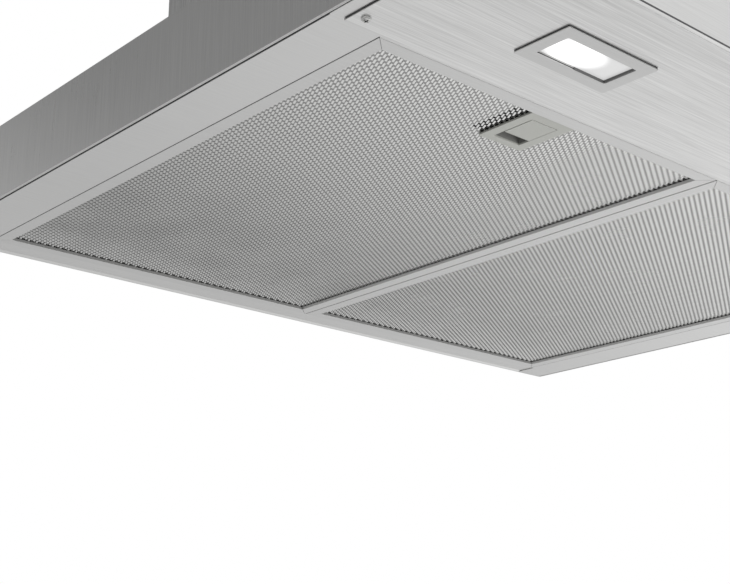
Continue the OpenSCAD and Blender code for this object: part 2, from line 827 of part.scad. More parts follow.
// Blower box, which hangs on the wall and carries everything else
module blower_box() {
    color(zinc) difference() {
        union() {
            block([-box_half, -box_d, box_z], [box_half, 0, box_top]);
            block([-box_half - foot_w, -box_d, box_z],
                  [box_half + foot_w, -foot_w, box_z + wall_plate]);
        }
        block([-box_half + sheet, -box_d + sheet, box_z - overrun],
              [box_half - sheet, -wall_plate, box_top - sheet]);
        translate([0, -collar_y, box_top - 2 * sheet]) cylinder(r = collar_in, h = 4 * sheet);
        for (x = [-wall_hole_x / 2, wall_hole_x / 2], z = [-wall_hole_z / 2, wall_hole_z / 2])
            translate([x, -wall_plate / 2, box_z + box_h / 2 + z]) rotate([90, 0, 0])
                cylinder(r = wall_hole_r, h = wall_plate + 2 * overrun, center = true);
        at_box_screws() translate([0, 0, -overrun]) cylinder(r = box_screw_r, h = wall_plate + 2 * overrun);
    }
}

// Places its children at each screw of the blower box's feet
module at_box_screws() {
    front = -box_d + 30;
    back = -40;
    for (x = [-box_half - foot_w / 2, box_half + foot_w / 2], y = [front, back])
        translate([x, y, box_z]) children();
}

// Spiral of the scroll, from its front, under the impeller and up behind it
function spiral(grow, steps = 32) = [
    for (i = [0 : steps])
        let (turn = i / steps, a = 180 + 240 * turn, r = scroll_start + grow + scroll_growth * (1 - turn))
            [-axis_y + r * cos(a), axis_z + r * sin(a)]
];

// Outline of the scroll and its throat, grown by a wall thickness
module scroll_outline(grow, top) {
    polygon(spiral(grow));
    translate([-collar_y - throat_half - grow, axis_z]) square([2 * (throat_half + grow), top - axis_z]);
}

// One half of the scroll housing, with its air inlet
module scroll_half_shell(side) {
    top = box_top - sheet;
    color(plastic_dark) on_side(side) difference() {
        along_x(-scroll_half, -shaft_gap) scroll_outline(scroll_wall, top);
        along_x(-scroll_half + scroll_wall, overrun) scroll_outline(0, top + overrun);
        translate([-scroll_half, -axis_y, axis_z]) rod_x(inlet_r, 6 * scroll_wall);
    }
}

// Motor body, inside the right-hand half of the impeller
module blower_motor() {
    bearing_r = 12;
    color(zinc) translate([motor_x + motor_l / 2, -axis_y, axis_z]) difference() {
        union() {
            rod_x(motor_r, motor_l);
            rod_x(bearing_r, motor_l + 2 * bearing_l);
        }
        rod_x(shaft_r + shaft_gap, motor_l + 2 * bearing_l + 2 * overrun);
    }
}

// Three arms that carry the motor in the air inlet
module motor_bracket() {
    hub_out = 20;
    x0 = motor_x + motor_l + bearing_l;
    x1 = scroll_half + seat;
    color(zinc) translate([0, -axis_y, axis_z]) difference() {
        union() {
            translate([(x0 + x1 + arm_t) / 2, 0, 0]) rod_x(hub_out, x1 + arm_t - x0);
            for (turn = [90, 210, 330]) rotate([turn, 0, 0])
                block([x1, 0, -arm_w / 2], [x1 + arm_t, inlet_r + arm_over, arm_w / 2]);
        }
        translate([(x0 + x1) / 2, 0, 0]) rod_x(shaft_r + 3, x1 - x0 + 4 * arm_t);
    }
}

// Double-sided impeller, whose blades are set between its disc and a ring at each end
module impeller() {
    blade_turn = 25;
    blade_in = 1.5;
    blade_fit = 0.1;
    blade_l = impeller_l - ring_t - disc_t / 2 - 2 * blade_fit;
    blade_x = (disc_t + blade_l) / 2 + blade_fit;
    color(plastic_dark) translate([0, -axis_y, axis_z]) {
        difference() {
            union() {
                rod_x(impeller_r, disc_t);
                rod_x(hub_r, hub_l);
            }
            rod_x(shaft_r, 2 * hub_l);
        }
        for (side = [-1, 1]) {
            translate([side * (impeller_l - ring_t / 2), 0, 0]) difference() {
                rod_x(impeller_r, ring_t);
                rod_x(impeller_r - ring_d, ring_t + overrun);
            }
            for (i = [0 : blade_count - 1]) rotate([i * 360 / blade_count, 0, 0])
                translate([side * blade_x, impeller_r - blade_d / 2 - blade_in, 0])
                    rotate([blade_turn, 0, 0]) cube([blade_l, blade_d, blade_t], center = true);
        }
    }
}

// Shaft from the impeller's hub through the motor
module impeller_shaft() {
    x0 = -hub_l / 2 - 4;
    x1 = motor_x + motor_l + 4;
    color(zinc) translate([(x0 + x1) / 2, -axis_y, axis_z]) rod_x(shaft_r, x1 - x0);
}

// Capacitor on the blower box's back wall
module motor_capacitor() {
    x = (scroll_half + box_half) / 2;
    y = -wall_plate - capacitor_r - seat;
    z = box_z + capacitor_rise;
    neck_r = 4;
    neck_l = 6;
    foot_half = 6;
    foot_t = 4;
    color(plastic_white) union() {
        translate([x, y, z]) cylinder(r = capacitor_r, h = capacitor_l);
        translate([x, y, z + capacitor_l]) cylinder(r = neck_r, h = neck_l);
        block([x - foot_half, -wall_plate - foot_t, z + capacitor_l / 3],
              [x + foot_half, -wall_plate, z + 2 * capacitor_l / 3]);
    }
}

// Terminal box, open at its top
module terminal_box() {
    wall = terminal_wall;
    color(plastic_white) translate(terminal_low) difference() {
        cube(terminal_size);
        translate([wall, wall, wall]) cube(terminal_size - [2 * wall, 2 * wall, 0]);
        translate([-overrun, terminal_d / 2, terminal_h / 2]) rotate([0, 90, 0])
            cylinder(r = gland_r - 1, h = wall + 2 * overrun);
    }
}

// Terminal box cover
module terminal_cover() {
    color(plastic_white) translate(terminal_low + [0, 0, terminal_h])
        cube([terminal_w, terminal_d, terminal_wall]);
}

// Gland where the mains lead enters
module cable_gland() {
    nut_r = gland_r + 2;
    nut_l = 8;
    neck = terminal_wall + overrun;
    lead_r = gland_r - 2.5;
    middle = [0, terminal_d / 2, terminal_h / 2];
    color(plastic_dark) translate(terminal_low + middle) rotate([0, -90, 0]) difference() {
        union() {
            cylinder(r = nut_r, h = nut_l);
            translate([0, 0, -neck]) cylinder(r = gland_r - 1, h = neck + overrun);
        }
        translate([0, 0, -neck - overrun]) cylinder(r = lead_r, h = nut_l + neck + 3 * overrun);
    }
}

// Outlet collar with the ledge that stops the flaps
module outlet_collar() {
    ledge_top = rod_z - flap_t / 2 - seat;
    height = collar_base + collar_l;
    color(plastic_dark) translate([0, -collar_y, 0]) difference() {
        translate([0, 0, box_top]) union() {
            cylinder(r = collar_r + collar_flange, h = collar_base);
            cylinder(r = collar_r, h = height);
        }
        translate([0, 0, box_top - overrun]) cylinder(r = collar_in - stop_t, h = height + 2 * overrun);
        translate([0, 0, ledge_top]) cylinder(r = collar_in, h = height);
        translate([0, 0, rod_z]) rod_x(rod_r, 2 * (collar_in + 1));
    }
}

// Rod on which both flaps swing
module flap_rod() {
    color(zinc) translate([0, -collar_y, rod_z]) rod_x(rod_r, 2 * (collar_in + 1));
}

// One half-round flap with three knuckles on the rod
module flap(side, knuckles) {
    color(plastic_dark) translate([0, -collar_y, rod_z]) mirror([0, side < 0 ? 1 : 0, 0]) difference() {
        union() {
            intersection() {
                translate([0, 0, -flap_t / 2]) cylinder(r = flap_r, h = flap_t);
                block([-flap_r, knuckle_r + knuckle_clear, -flap_t], [flap_r, flap_r, flap_t]);
            }
            for (x = knuckles) {
                translate([x, 0, 0]) rod_x(knuckle_r, knuckle_l);
                block([x - knuckle_l / 2, 0, -flap_t / 2],
                      [x + knuckle_l / 2, knuckle_r + 2 * knuckle_clear, flap_t / 2]);
            }
        }
        rod_x(rod_r + rod_gap, 2 * collar_r);
    }
}

// Screws that hold the blower box down on the canopy
module blower_screws() {
    head_r = 3;
    head_t = 2;
    tail = 4;
    color(zinc) at_box_screws() {
        translate([0, 0, wall_plate]) cylinder(r = head_r, h = head_t);
        translate([0, 0, -tail]) cylinder(r = box_screw_r - screw_clear, h = tail + wall_plate + overrun);
    }
}

canopy_shell();
canopy_back();
base_pan();
lamp_panel();
back_rail();
centre_bar();
panel_screws();
filter_frame(LEFT);  // filter_frame_left
filter_frame(RIGHT);  // filter_frame_right
filter_mesh(LEFT);  // filter_mesh_left
filter_mesh(RIGHT);  // filter_mesh_right
filter_layers(LEFT);  // filter_layers_left
filter_layers(RIGHT);  // filter_layers_right
filter_hooks(LEFT);  // filter_hooks_left
filter_hooks(RIGHT);  // filter_hooks_right
latch_surround(LEFT);  // latch_surround_left
latch_surround(RIGHT);  // latch_surround_right
latch_slide(LEFT);  // latch_slide_left
latch_slide(RIGHT);  // latch_slide_right
latch_spring(LEFT);  // latch_spring_left
latch_spring(RIGHT);  // latch_spring_right
lamp_bezel(LEFT);  // lamp_bezel_left
lamp_bezel(RIGHT);  // lamp_bezel_right
lamp_lens(LEFT);  // lamp_lens_left
lamp_lens(RIGHT);  // lamp_lens_right
lamp_housing(LEFT);  // lamp_housing_left
lamp_housing(RIGHT);  // lamp_housing_right
lamp_board(LEFT);  // lamp_board_left
lamp_board(RIGHT);  // lamp_board_right
lamp_clips(LEFT);  // lamp_clips_left
lamp_clips(RIGHT);  // lamp_clips_right
lamp_driver();
button_plate();
push_button(0);  // button_off
push_button(1);  // button_low
push_button(2);  // button_medium
push_button(3);  // button_high
push_button(4);  // button_light
switch_case();
switch_board();
chimney_lower();
chimney_upper();
chimney_bracket();
cover_screws();
blower_box();
scroll_half_shell(LEFT);  // scroll_left
scroll_half_shell(RIGHT);  // scroll_right
blower_motor();
motor_bracket();
impeller();
impeller_shaft();
motor_capacitor();
terminal_box();
terminal_cover();
cable_gland();
outlet_collar();
flap_rod();
flap(1, [-2 * knuckle_pitch, 0, 2 * knuckle_pitch]);  // flap_rear
flap(-1, [-knuckle_pitch, knuckle_pitch]);  // flap_front
blower_screws();
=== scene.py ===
# %% [markdown]
# # A wall-mounted range hood, dressed for its portrait
# The steel canopy, its two grease filters, the lamps, buttons, blower and chimney come as a
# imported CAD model, which is already the right size. This lesson gives each piece the finish
# and the small forms that a metal worker would leave on it: folded edges, brushing, expanded
# mesh, springs and screws. The wall is at y = 0, the front towards -y and the underside of the
# canopy at z = 0. Blender counts in metres. Pieces are drawn in millimetres, as in a workshop,
# and one helper scales them.

import itertools
import json
import math

import bmesh
import bpy
import numpy as np
from mathutils import Matrix, Vector

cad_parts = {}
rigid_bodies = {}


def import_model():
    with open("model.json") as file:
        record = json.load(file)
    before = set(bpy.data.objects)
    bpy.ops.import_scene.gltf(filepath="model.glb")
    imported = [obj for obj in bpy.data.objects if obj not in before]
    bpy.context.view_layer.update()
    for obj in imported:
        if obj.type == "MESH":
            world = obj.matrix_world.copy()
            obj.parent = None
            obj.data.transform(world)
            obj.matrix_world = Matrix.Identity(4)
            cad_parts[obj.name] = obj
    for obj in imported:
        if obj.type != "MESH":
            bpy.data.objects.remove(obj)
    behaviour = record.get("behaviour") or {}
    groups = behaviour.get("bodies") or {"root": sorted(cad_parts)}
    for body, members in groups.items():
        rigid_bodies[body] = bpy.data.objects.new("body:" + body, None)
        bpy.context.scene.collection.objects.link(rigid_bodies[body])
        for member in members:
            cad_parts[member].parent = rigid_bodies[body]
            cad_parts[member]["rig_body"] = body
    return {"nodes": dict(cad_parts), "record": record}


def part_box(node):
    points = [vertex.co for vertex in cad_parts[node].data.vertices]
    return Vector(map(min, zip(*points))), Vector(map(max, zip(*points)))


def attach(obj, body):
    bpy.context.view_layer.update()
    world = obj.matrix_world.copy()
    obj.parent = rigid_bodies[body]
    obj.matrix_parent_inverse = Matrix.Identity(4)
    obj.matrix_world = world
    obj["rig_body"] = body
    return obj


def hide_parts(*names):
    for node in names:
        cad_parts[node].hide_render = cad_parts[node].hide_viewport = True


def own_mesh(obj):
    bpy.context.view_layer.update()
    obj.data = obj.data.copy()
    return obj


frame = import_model()
nodes = frame["nodes"]
slot_of_node = {part["node"]: part["material_slot"] for part in frame["record"]["subparts"]}
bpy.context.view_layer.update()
mm = 0.001
sides = ("left", "right")
both = (-1, 1)

# %% [markdown]
# ## The camera
# The photograph was taken from below and from the front left, close to the canopy. A camera
# could be placed by eye, but a wide flat object shows every degree of error, so its place and
# its turn come from fitting the straight edges of the canopy to those in the picture.

# %% Camera
camera_place = Vector((-0.6405, -0.8142, -0.2917))
camera_heading = math.radians(41.52)
camera_tilt = math.radians(16.91)
camera_roll = math.radians(0.1)
focal_pixels = 1345.6
picture_width = 730
scene = bpy.context.scene
camera_data = bpy.data.cameras.new("camera")
camera_data.sensor_fit = "HORIZONTAL"
camera_data.sensor_width = 36
camera_data.lens = camera_data.sensor_width * focal_pixels / picture_width
camera_data.clip_start = 0.01
camera = bpy.data.objects.new("camera", camera_data)
scene.collection.objects.link(camera)
camera.matrix_world = (Matrix.Translation(camera_place) @ Matrix.Rotation(-camera_heading, 4, "Z")
    @ Matrix.Rotation(math.pi / 2 + camera_tilt, 4, "X")
    @ Matrix.Rotation(camera_roll, 4, "Z"))
scene.camera = camera
print("Lens, mm:", round(camera_data.lens, 2))

# %% [markdown]
# A finish is a small web of nodes. Each node could be made, set and wired by hand in five lines;
# one helper that takes all its inputs by name keeps every web short enough to read.

# %% Helpers for shader nodes
def add_node(tree, kind, inputs=None, **settings):
    """A new node; inputs maps a name or number to a plain value or to the socket that feeds it."""
    node = tree.nodes.new("ShaderNode" + kind)
    for setting, value in settings.items():
        setattr(node, setting, value)
    for key, value in (inputs or {}).items():
        if isinstance(value, bpy.types.NodeSocket):
            tree.links.new(value, node.inputs[key])
        else:
            node.inputs[key].default_value = value
    return node


def new_finish(name, colour, metallic, roughness):
    """A material with one Principled shader; returns the material, its nodes and the shader."""
    material = bpy.data.materials.new(name)
    material.use_nodes = True
    material.diffuse_color = (*colour, 1)
    shader = material.node_tree.nodes["Principled BSDF"]
    shader.inputs["Base Color"].default_value = (*colour, 1)
    shader.inputs["Metallic"].default_value = metallic
    shader.inputs["Roughness"].default_value = roughness
    return material, material.node_tree, shader


print("Node helpers ready")

# %% [markdown]
# ## The studio
# Brushed steel shows its surroundings more than its own colour. A white surround gives the
# bright front, and a card behind the hood that goes from grey on the left to white on the
# right gives the dark left skirt and the soft ramp of light across the underside. The floor is
# pale and plain, and lies so far below the hood that the photograph's view never meets it. It
# is round, so that no view shows a slanting edge.

# %% Surroundings and floor
background_white = 1.0
soft_daylight = 0.55
floor_level = -1.6
floor_radius = 7.0
floor_corners = 120

scene.view_settings.view_transform = "Standard"
world = bpy.data.worlds.new("studio")
scene.world = world
world.use_nodes = True
sky = world.node_tree
sky.nodes.clear()
rays = add_node(sky, "LightPath").outputs
seen = rays["Is Camera Ray"]
for ray in ("Is Glossy Ray", "Is Transmission Ray"):
    seen = add_node(sky, "Math", {0: seen, 1: rays[ray]}, operation="MAXIMUM").outputs[0]
white = (1, 1, 1, 1)
daylight, plain = (add_node(sky, "Background", {"Color": white, "Strength": strength}).outputs[0]
    for strength in (soft_daylight, background_white))
shown = add_node(sky, "MixShader", {0: seen, 1: daylight, 2: plain}).outputs[0]
add_node(sky, "OutputWorld", {"Surface": shown})


def flat_sheet(name, corners, paint):
    """A single face, used for the studio's own surfaces."""
    mesh = bpy.data.meshes.new(name)
    mesh.from_pydata(corners, [], [tuple(range(len(corners)))])
    mesh.materials.append(paint)
    sheet = bpy.data.objects.new(name, mesh)
    scene.collection.objects.link(sheet)
    return sheet


def circle(steps, start=0.0):
    """The angles of that many equal steps round a circle."""
    return [start + 2 * math.pi * i / steps for i in range(steps)]


floor_paint, *_ = new_finish("floor_paint", (0.74, 0.74, 0.74), 0, 0.85)
flat_sheet("floor", [(floor_radius * math.cos(a), floor_radius * math.sin(a), floor_level)
    for a in circle(floor_corners)], floor_paint)
print("Floor at", floor_level, "m")

# %% [markdown]
# The cards shine by themselves, brighter or darker from one end to the other. Only the metal
# sees them. Behind the hood hangs the large one, and low behind it lies the one that the
# underside mirrors. Under the hood stands the dark top of the cooker that it hangs over, and a
# low card takes its part. Only the polished strands of the filter mesh lean far enough to
# mirror it, and it is what puts the dark line between them.

# %% Cards
def mirrored_card(name, corners, direction, stops):
    """A shining card; each stop is (metres along direction, strength)."""
    paint = bpy.data.materials.new(name + "_light")
    paint.use_nodes = True
    tree = paint.node_tree
    tree.nodes.clear()
    first, last = stops[0][0], stops[-1][0]
    place = add_node(tree, "TexCoord").outputs["Object"]
    along = add_node(tree, "VectorMath", {0: place, 1: direction},
        operation="DOT_PRODUCT").outputs["Value"]
    share = add_node(tree, "MapRange",
        {"Value": along, "From Min": first, "From Max": last}).outputs[0]
    ramp = add_node(tree, "ValToRGB", {0: share})
    ends = ramp.color_ramp.elements
    for i, (metres, strength) in enumerate(stops):
        inner = 0 < i < len(stops) - 1
        stop = ends.new((metres - first) / (last - first)) if inner else ends[-1 if i else 0]
        stop.color = (strength, strength, strength, 1)
    shine = add_node(tree, "Emission", {"Color": ramp.outputs[0]}).outputs[0]
    add_node(tree, "OutputMaterial", {"Surface": shine})
    card = flat_sheet(name, corners, paint)
    card.visible_camera = card.visible_shadow = card.visible_diffuse = False


def level_corners(x0, x1, y0, y1, z):
    """The corners of a level rectangle."""
    return [(x0, y0, z), (x1, y0, z), (x1, y1, z), (x0, y1, z)]


back_y, back_left, back_right, back_low, back_high = 1.25, -6.0, 3.4, -0.74, 5.0
mirrored_card("back_card", [(back_left, back_y, back_low), (back_right, back_y, back_low),
        (back_right, back_y, back_high), (back_left, back_y, back_high)], (-0.15, 0, 1),
    [(-1.1, 0.80), (-0.85, 0.72), (-0.70, 0.60), (-0.5, 0.68), (0.0, 0.72), (0.40, 0.70),
        (0.95, 0.30), (2.2, 0.285), (6.0, 0.285)])
mirrored_card("floor_card", level_corners(-0.20, 4.0, 0.06, 1.24, -0.745), (0.555, -0.832, 0),
    [(-1.1, 0.52), (-0.2, 0.88), (0.2, 1.00), (0.62, 1.12), (0.85, 1.32), (1.6, 1.27)])
mirrored_card("hob_card", level_corners(-0.60, 2.4, -0.75, 0.05, -0.6), (0.33, -1.25, 0),
    [(-0.3, 0.24), (0.0, 0.31), (0.8, 1.10), (1.6, 1.25)])
print("Back card at y =", back_y, "m")

# %% [markdown]
# The lamps are large, so their shadows are soft. One hangs to the front right, one to the left,
# and one fills from below, because the underside is what the photograph shows. They don't show
# in the metal, or they would print hard bright squares on it.

# %% Lamps of the studio
for name, place, aim, size, watts in (
        ("lamp_front_right", (1.6, -2.0, 1.5), (0, -0.2, 0.2), 1.6, 30),
        ("lamp_left", (-2.0, -0.9, 1.3), (0, -0.2, 0.3), 1.6, 11),
        ("lamp_below", (0.5, -1.3, -0.72), (0, -0.2, 0.0), 1.0, 12)):
    data = bpy.data.lights.new(name, "AREA")
    data.shape = "SQUARE"
    data.size = size
    data.energy = watts
    lamp = bpy.data.objects.new(name, data)
    scene.collection.objects.link(lamp)
    lamp.location = place
    lamp.rotation_euler = (Vector(aim) - Vector(place)).to_track_quat("-Z", "Y").to_euler()
    lamp.visible_glossy = lamp.visible_camera = False
print("Lamps:", len(bpy.data.lights))

# %% [markdown]
# ## Finishes
# Each finish is a small recipe of noise. The object's own coordinates drive it, so the grain
# stays on the piece when a filter swings or the chimney is drawn out. Noise that is pressed
# flat in one direction gives brushing; plain noise gives cast, moulded and painted surfaces.

# %% Helpers for the finishes
def stretched(tree, stretch):
    """The object's coordinates, multiplied along each axis."""
    place = add_node(tree, "TexCoord").outputs["Object"]
    return add_node(tree, "Mapping", {"Vector": place, "Scale": stretch}).outputs["Vector"]


def noise(tree, vector, detail=3.0):
    """A noise value between 0 and 1."""
    return add_node(tree, "TexNoise",
        {"Vector": vector, "Scale": 1, "Detail": detail, "Roughness": 0.5}).outputs["Fac"]


def even_noise(tree, scale):
    """Noise that is the same in all directions, with that many grains to a metre."""
    return noise(tree, stretched(tree, (scale, scale, scale)))


def spread(tree, value, middle, reach, from_low=0.3, from_high=0.7):
    """The value, moved to the range of that reach round the middle and held inside it."""
    return add_node(tree, "MapRange", {"Value": value, "From Min": from_low, "From Max": from_high,
            "To Min": middle - reach, "To Max": middle + reach}).outputs["Result"]


def plus(tree, a, b):
    """The sum of two values."""
    return add_node(tree, "Math", {0: a, 1: b}, operation="ADD").outputs[0]


def tint(tree, shader, colour, amount):
    """The shader's colour, made lighter or darker by a value near 1."""
    scaled = add_node(tree, "VectorMath", {"Scale": amount}, operation="SCALE")
    if isinstance(colour, bpy.types.NodeSocket):
        tree.links.new(colour, scaled.inputs[0])
    else:
        scaled.inputs[0].default_value = colour
    tree.links.new(scaled.outputs[0], shader.inputs["Base Color"])


def bump(tree, shader, height, depth):
    """Small relief whose full height is depth, in metres."""
    node = add_node(tree, "Bump", {"Strength": 1, "Distance": depth, "Height": height})
    tree.links.new(node.outputs["Normal"], shader.inputs["Normal"])


print("Finish helpers ready")

# %% [markdown]
# Brushed stainless steel is rolled sheet that an abrasive belt has scratched in one direction.
# The scratches are finer than the picture's pixels, so they show as faint long streaks and as
# a highlight that is drawn out across them. A folded sheet carries its scratches round the
# fold: those of the canopy's top run from left to right, and so they run up and down on its
# left and right skirt.

# %% Brushed steel
streak_long = 22.0
streak_fine = 1500.0
streak_broad = 520.0
streak_depth = 0.000002
side_facing = 0.7


def brushed(name, colour, roughness, along="X", folded=False, contrast=0.03):
    """Brushed metal. along is the scratches' axis, folded turns them to Z on faces along X."""
    material, tree, shader = new_finish(name, colour, 1.0, roughness)

    def grain(across, detail):
        stretch = [across] * 3
        stretch["XYZ".index(along)] = streak_long
        flat = stretched(tree, stretch)
        if not folded:
            return noise(tree, flat, detail)
        upright = stretched(tree, (across, across, streak_long))
        normal = add_node(tree, "TexCoord").outputs["Normal"]
        to_x = add_node(tree, "SeparateXYZ", {0: normal}).outputs["X"]
        facing = add_node(tree, "Math", {0: to_x}, operation="ABSOLUTE").outputs[0]
        on_side = add_node(tree, "Math", {0: facing, 1: side_facing},
            operation="GREATER_THAN").outputs[0]
        pick = add_node(tree, "Mix", {"Factor": on_side, "A": flat, "B": upright},
            data_type="VECTOR")
        return noise(tree, pick.outputs["Result"], detail)

    fine, broad, cloud = grain(streak_fine, 2.0), grain(streak_broad, 4.0), even_noise(tree, 9)
    streaks = plus(tree, spread(tree, fine, 0, contrast), spread(tree, broad, 0, contrast / 2))
    tint(tree, shader, colour, plus(tree, streaks, spread(tree, cloud, 1, 0.008)))
    rough = plus(tree, spread(tree, broad, 0, 0.02), spread(tree, cloud, roughness, 0.015))
    tree.links.new(rough, shader.inputs["Roughness"])
    bump(tree, shader, plus(tree, fine, broad), streak_depth)
    return material


steel_colour = (0.62, 0.62, 0.615)
frame_colour = (0.60, 0.60, 0.595)
steel_canopy = brushed("brushed_steel_canopy", steel_colour, 0.30, folded=True, contrast=0.05)
steel_underside = brushed("brushed_steel_underside", steel_colour, 0.30)
steel_lamp_panel = brushed("brushed_steel_lamp_panel", (0.66, 0.66, 0.655), 0.32, contrast=0.11)
steel_chimney = brushed("brushed_steel_chimney", steel_colour, 0.30, "Z", contrast=0.12)
steel_bezel = brushed("satin_steel_bezel", (0.58, 0.58, 0.575), 0.36, contrast=0.02)
aluminium_across = brushed("frame_aluminium_across", frame_colour, 0.34)
aluminium_along = brushed("frame_aluminium_along", frame_colour, 0.34, "Y")
print("Grooves of the brushing, to a metre:", streak_broad, "to", streak_fine)

# %% [markdown]
# The other metals are plain sheet and cast pieces. Galvanised steel has crystals, the spangle,
# a few millimetres across, which a cell noise gives. Expanded mesh is soft aluminium; its slanting
# strands are painted darker than its bonds, as painted shade for how the light falls on them.
# Plastics get a moulded grain of about a millimetre.

# %% Other metals and plastics
def cast(name, colour, metallic, roughness, contrast=0.05):
    """Cast, moulded or drawn surface with an even grain."""
    material, tree, shader = new_finish(name, colour, metallic, roughness)
    fine, cloud = even_noise(tree, 900), even_noise(tree, 25)
    shade = plus(tree, spread(tree, fine, 0, contrast / 2), spread(tree, cloud, 1, contrast / 2))
    tint(tree, shader, colour, shade)
    tree.links.new(spread(tree, cloud, roughness, 0.05), shader.inputs["Roughness"])
    bump(tree, shader, fine, 0.00002)
    return material


def spangled(name, colour, roughness, crystal=0.006):
    """Hot-dip galvanised sheet, with crystals of that size in metres."""
    material, tree, shader = new_finish(name, colour, 1.0, roughness)
    crystals = add_node(tree, "TexVoronoi",
        {"Scale": 1 / crystal, "Vector": stretched(tree, (1, 1, 1))})
    values = add_node(tree, "SeparateColor", {0: crystals.outputs["Color"]}).outputs
    tint(tree, shader, colour, spread(tree, values[0], 0.98, 0.08, 0, 1))
    tree.links.new(spread(tree, values[1], roughness, 0.08, 0, 1), shader.inputs["Roughness"])
    bump(tree, shader, even_noise(tree, 400), 0.00001)
    return material


def stretched_metal(name, colour, roughness):
    """Expanded aluminium, darkened face by face by the painted shade that the mesh carries."""
    material = cast(name, colour, 1.0, roughness, contrast=0.02)
    tree = material.node_tree
    shader = tree.nodes["Principled BSDF"]
    # Each face of the mesh carries a tone that darkens its slanting strands: painted shade.
    painted_strand_shade = add_node(tree, "Attribute", attribute_name="painted_strand_shade").outputs["Fac"]
    tint(tree, shader, shader.inputs["Base Color"].links[0].from_socket, painted_strand_shade)
    return material


zinc = spangled("galvanised_sheet", (0.56, 0.58, 0.60), 0.42)
mesh_aluminium = stretched_metal("mesh_aluminium", (0.76, 0.76, 0.75), 0.24)
layer_aluminium = stretched_metal("inner_mesh_aluminium", (0.25, 0.25, 0.25), 0.45)
hook_steel = cast("hook_steel", (0.50, 0.50, 0.49), 1.0, 0.35)
screw_steel = cast("screw_steel", (0.55, 0.55, 0.54), 1.0, 0.28)
spring_steel = cast("spring_steel", (0.45, 0.45, 0.45), 1.0, 0.30)
motor_steel = cast("motor_steel", (0.38, 0.39, 0.40), 1.0, 0.42)
copper = cast("motor_winding", (0.55, 0.22, 0.09), 1.0, 0.35)
latch_plastic = cast("latch_plastic", (0.43, 0.435, 0.405), 0.0, 0.50, 0.04)
button_plastic = cast("button_plastic", (0.46, 0.46, 0.455), 0.0, 0.42, 0.04)
white_plastic = cast("white_plastic", (0.72, 0.72, 0.70), 0.0, 0.45, 0.04)
black_plastic = cast("black_plastic", (0.035, 0.035, 0.037), 0.0, 0.48, 0.10)
pale_felt = cast("pale_felt", (0.60, 0.60, 0.59), 0.0, 0.8)
mark_ink = cast("mark_ink", (0.03, 0.03, 0.03), 0.0, 0.6)
board_green = cast("board_green", (0.03, 0.16, 0.06), 0.0, 0.40)
board_white = cast("board_white", (0.80, 0.80, 0.79), 0.0, 0.50)
chip_yellow = cast("chip_yellow", (0.75, 0.52, 0.10), 0.0, 0.45)
print("Finishes so far:", len(bpy.data.materials))

# %% [markdown]
# ## Helpers for the pieces
# A folded or pressed edge is never perfectly sharp, and the thin line of light along it is what
# tells the eye that metal is metal. Pieces of the CAD model that have the right shape keep it,
# and get a fine rounded edge from modifiers: weld first, because the model comes in triangles
# that don't share their corners, then join the triangles of each flat face, because a bevel
# folds over itself in long thin ones, then bevel, then normals that keep the flat faces flat.

# %% Dress a CAD node
dressed = set()


def dress(node, finish, edge=0.25, turn=40):
    """Gives a CAD node its finish and, unless edge is 0, a rounded edge of that size."""
    piece = nodes[node]
    dressed.add(node)
    for slot in piece.material_slots:
        slot.material = finish
    if edge:
        piece.modifiers.new("weld", "WELD").merge_threshold = 0.002 * mm
        joined = piece.modifiers.new("joined", "DECIMATE")
        joined.decimate_type = "DISSOLVE"
        joined.angle_limit = math.radians(0.5)
        bevel = piece.modifiers.new("edge", "BEVEL")
        bevel.width = edge * mm
        bevel.segments = 2
        bevel.limit_method = "ANGLE"
        bevel.angle_limit = math.radians(turn)
        bevel.use_clamp_overlap = False
        piece.modifiers.new("flat", "WEIGHTED_NORMAL").keep_sharp = True


def box_of(node):
    """A CAD node's low corner, high corner, middle and half size, in millimetres."""
    low, high = (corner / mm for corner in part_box(node))
    return low, high, (low + high) / 2, (high - low) / 2


print("Nodes to dress:", len(nodes))

# %% [markdown]
# Pieces with more form than the CAD model are built here, as meshes. Each one is handed to one
# helper that sets its finish, rounds its edges, decides which edges look sharp, puts it on the
# body of its CAD node, and hides that node when the piece stands for it.

# %% Build a new piece
def add_mesh(name, mesh, finish, node, slot=None, turn=35, stands=True, weigh=False):
    """Makes a piece from a mesh. It stands for a CAD node, or is fixed beside it.
    The slot argument is not used."""
    piece = bpy.data.objects.new(name, mesh)
    scene.collection.objects.link(piece)
    mesh.materials.append(finish)
    mesh.shade_smooth()
    mesh.set_sharp_from_angle(angle=math.radians(turn))
    if weigh:
        piece.modifiers.new("flat", "WEIGHTED_NORMAL").keep_sharp = True
    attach(piece, nodes[node]["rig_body"])
    if stands:
        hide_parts(node)
    return piece


def add_piece(name, bm, finish, node, edge=0, turn=35, **how):
    """The same from a bmesh in millimetres, with its edges rounded by edge."""
    bm.transform(Matrix.Scale(mm, 4))
    bmesh.ops.remove_doubles(bm, verts=bm.verts, dist=1e-7)
    if edge:
        sharp = [e for e in bm.edges
            if len(e.link_faces) == 2 and e.calc_face_angle(0) > math.radians(turn)]
        bmesh.ops.bevel(bm, geom=sharp, offset=edge * mm, segments=2, affect="EDGES", profile=0.5,
            clamp_overlap=True)
    bmesh.ops.recalc_face_normals(bm, faces=bm.faces)
    mesh = bpy.data.meshes.new(name)
    bm.to_mesh(mesh)
    bm.free()
    return add_mesh(name, mesh, finish, node, turn=turn, weigh=edge > 0, **how)


def make(name, finish, node, shapes, **how):
    """The same from a list of shapes, each a helper and what it needs."""
    bm = bmesh.new()
    for shape, *needs in shapes:
        shape(bm, *needs)
    return add_piece(name, bm, finish, node, **how)


def make_beside(*what, **how):
    """The same for a piece that no CAD node stands for."""
    return make(*what, stands=False, **how)


print("Piece helpers ready")

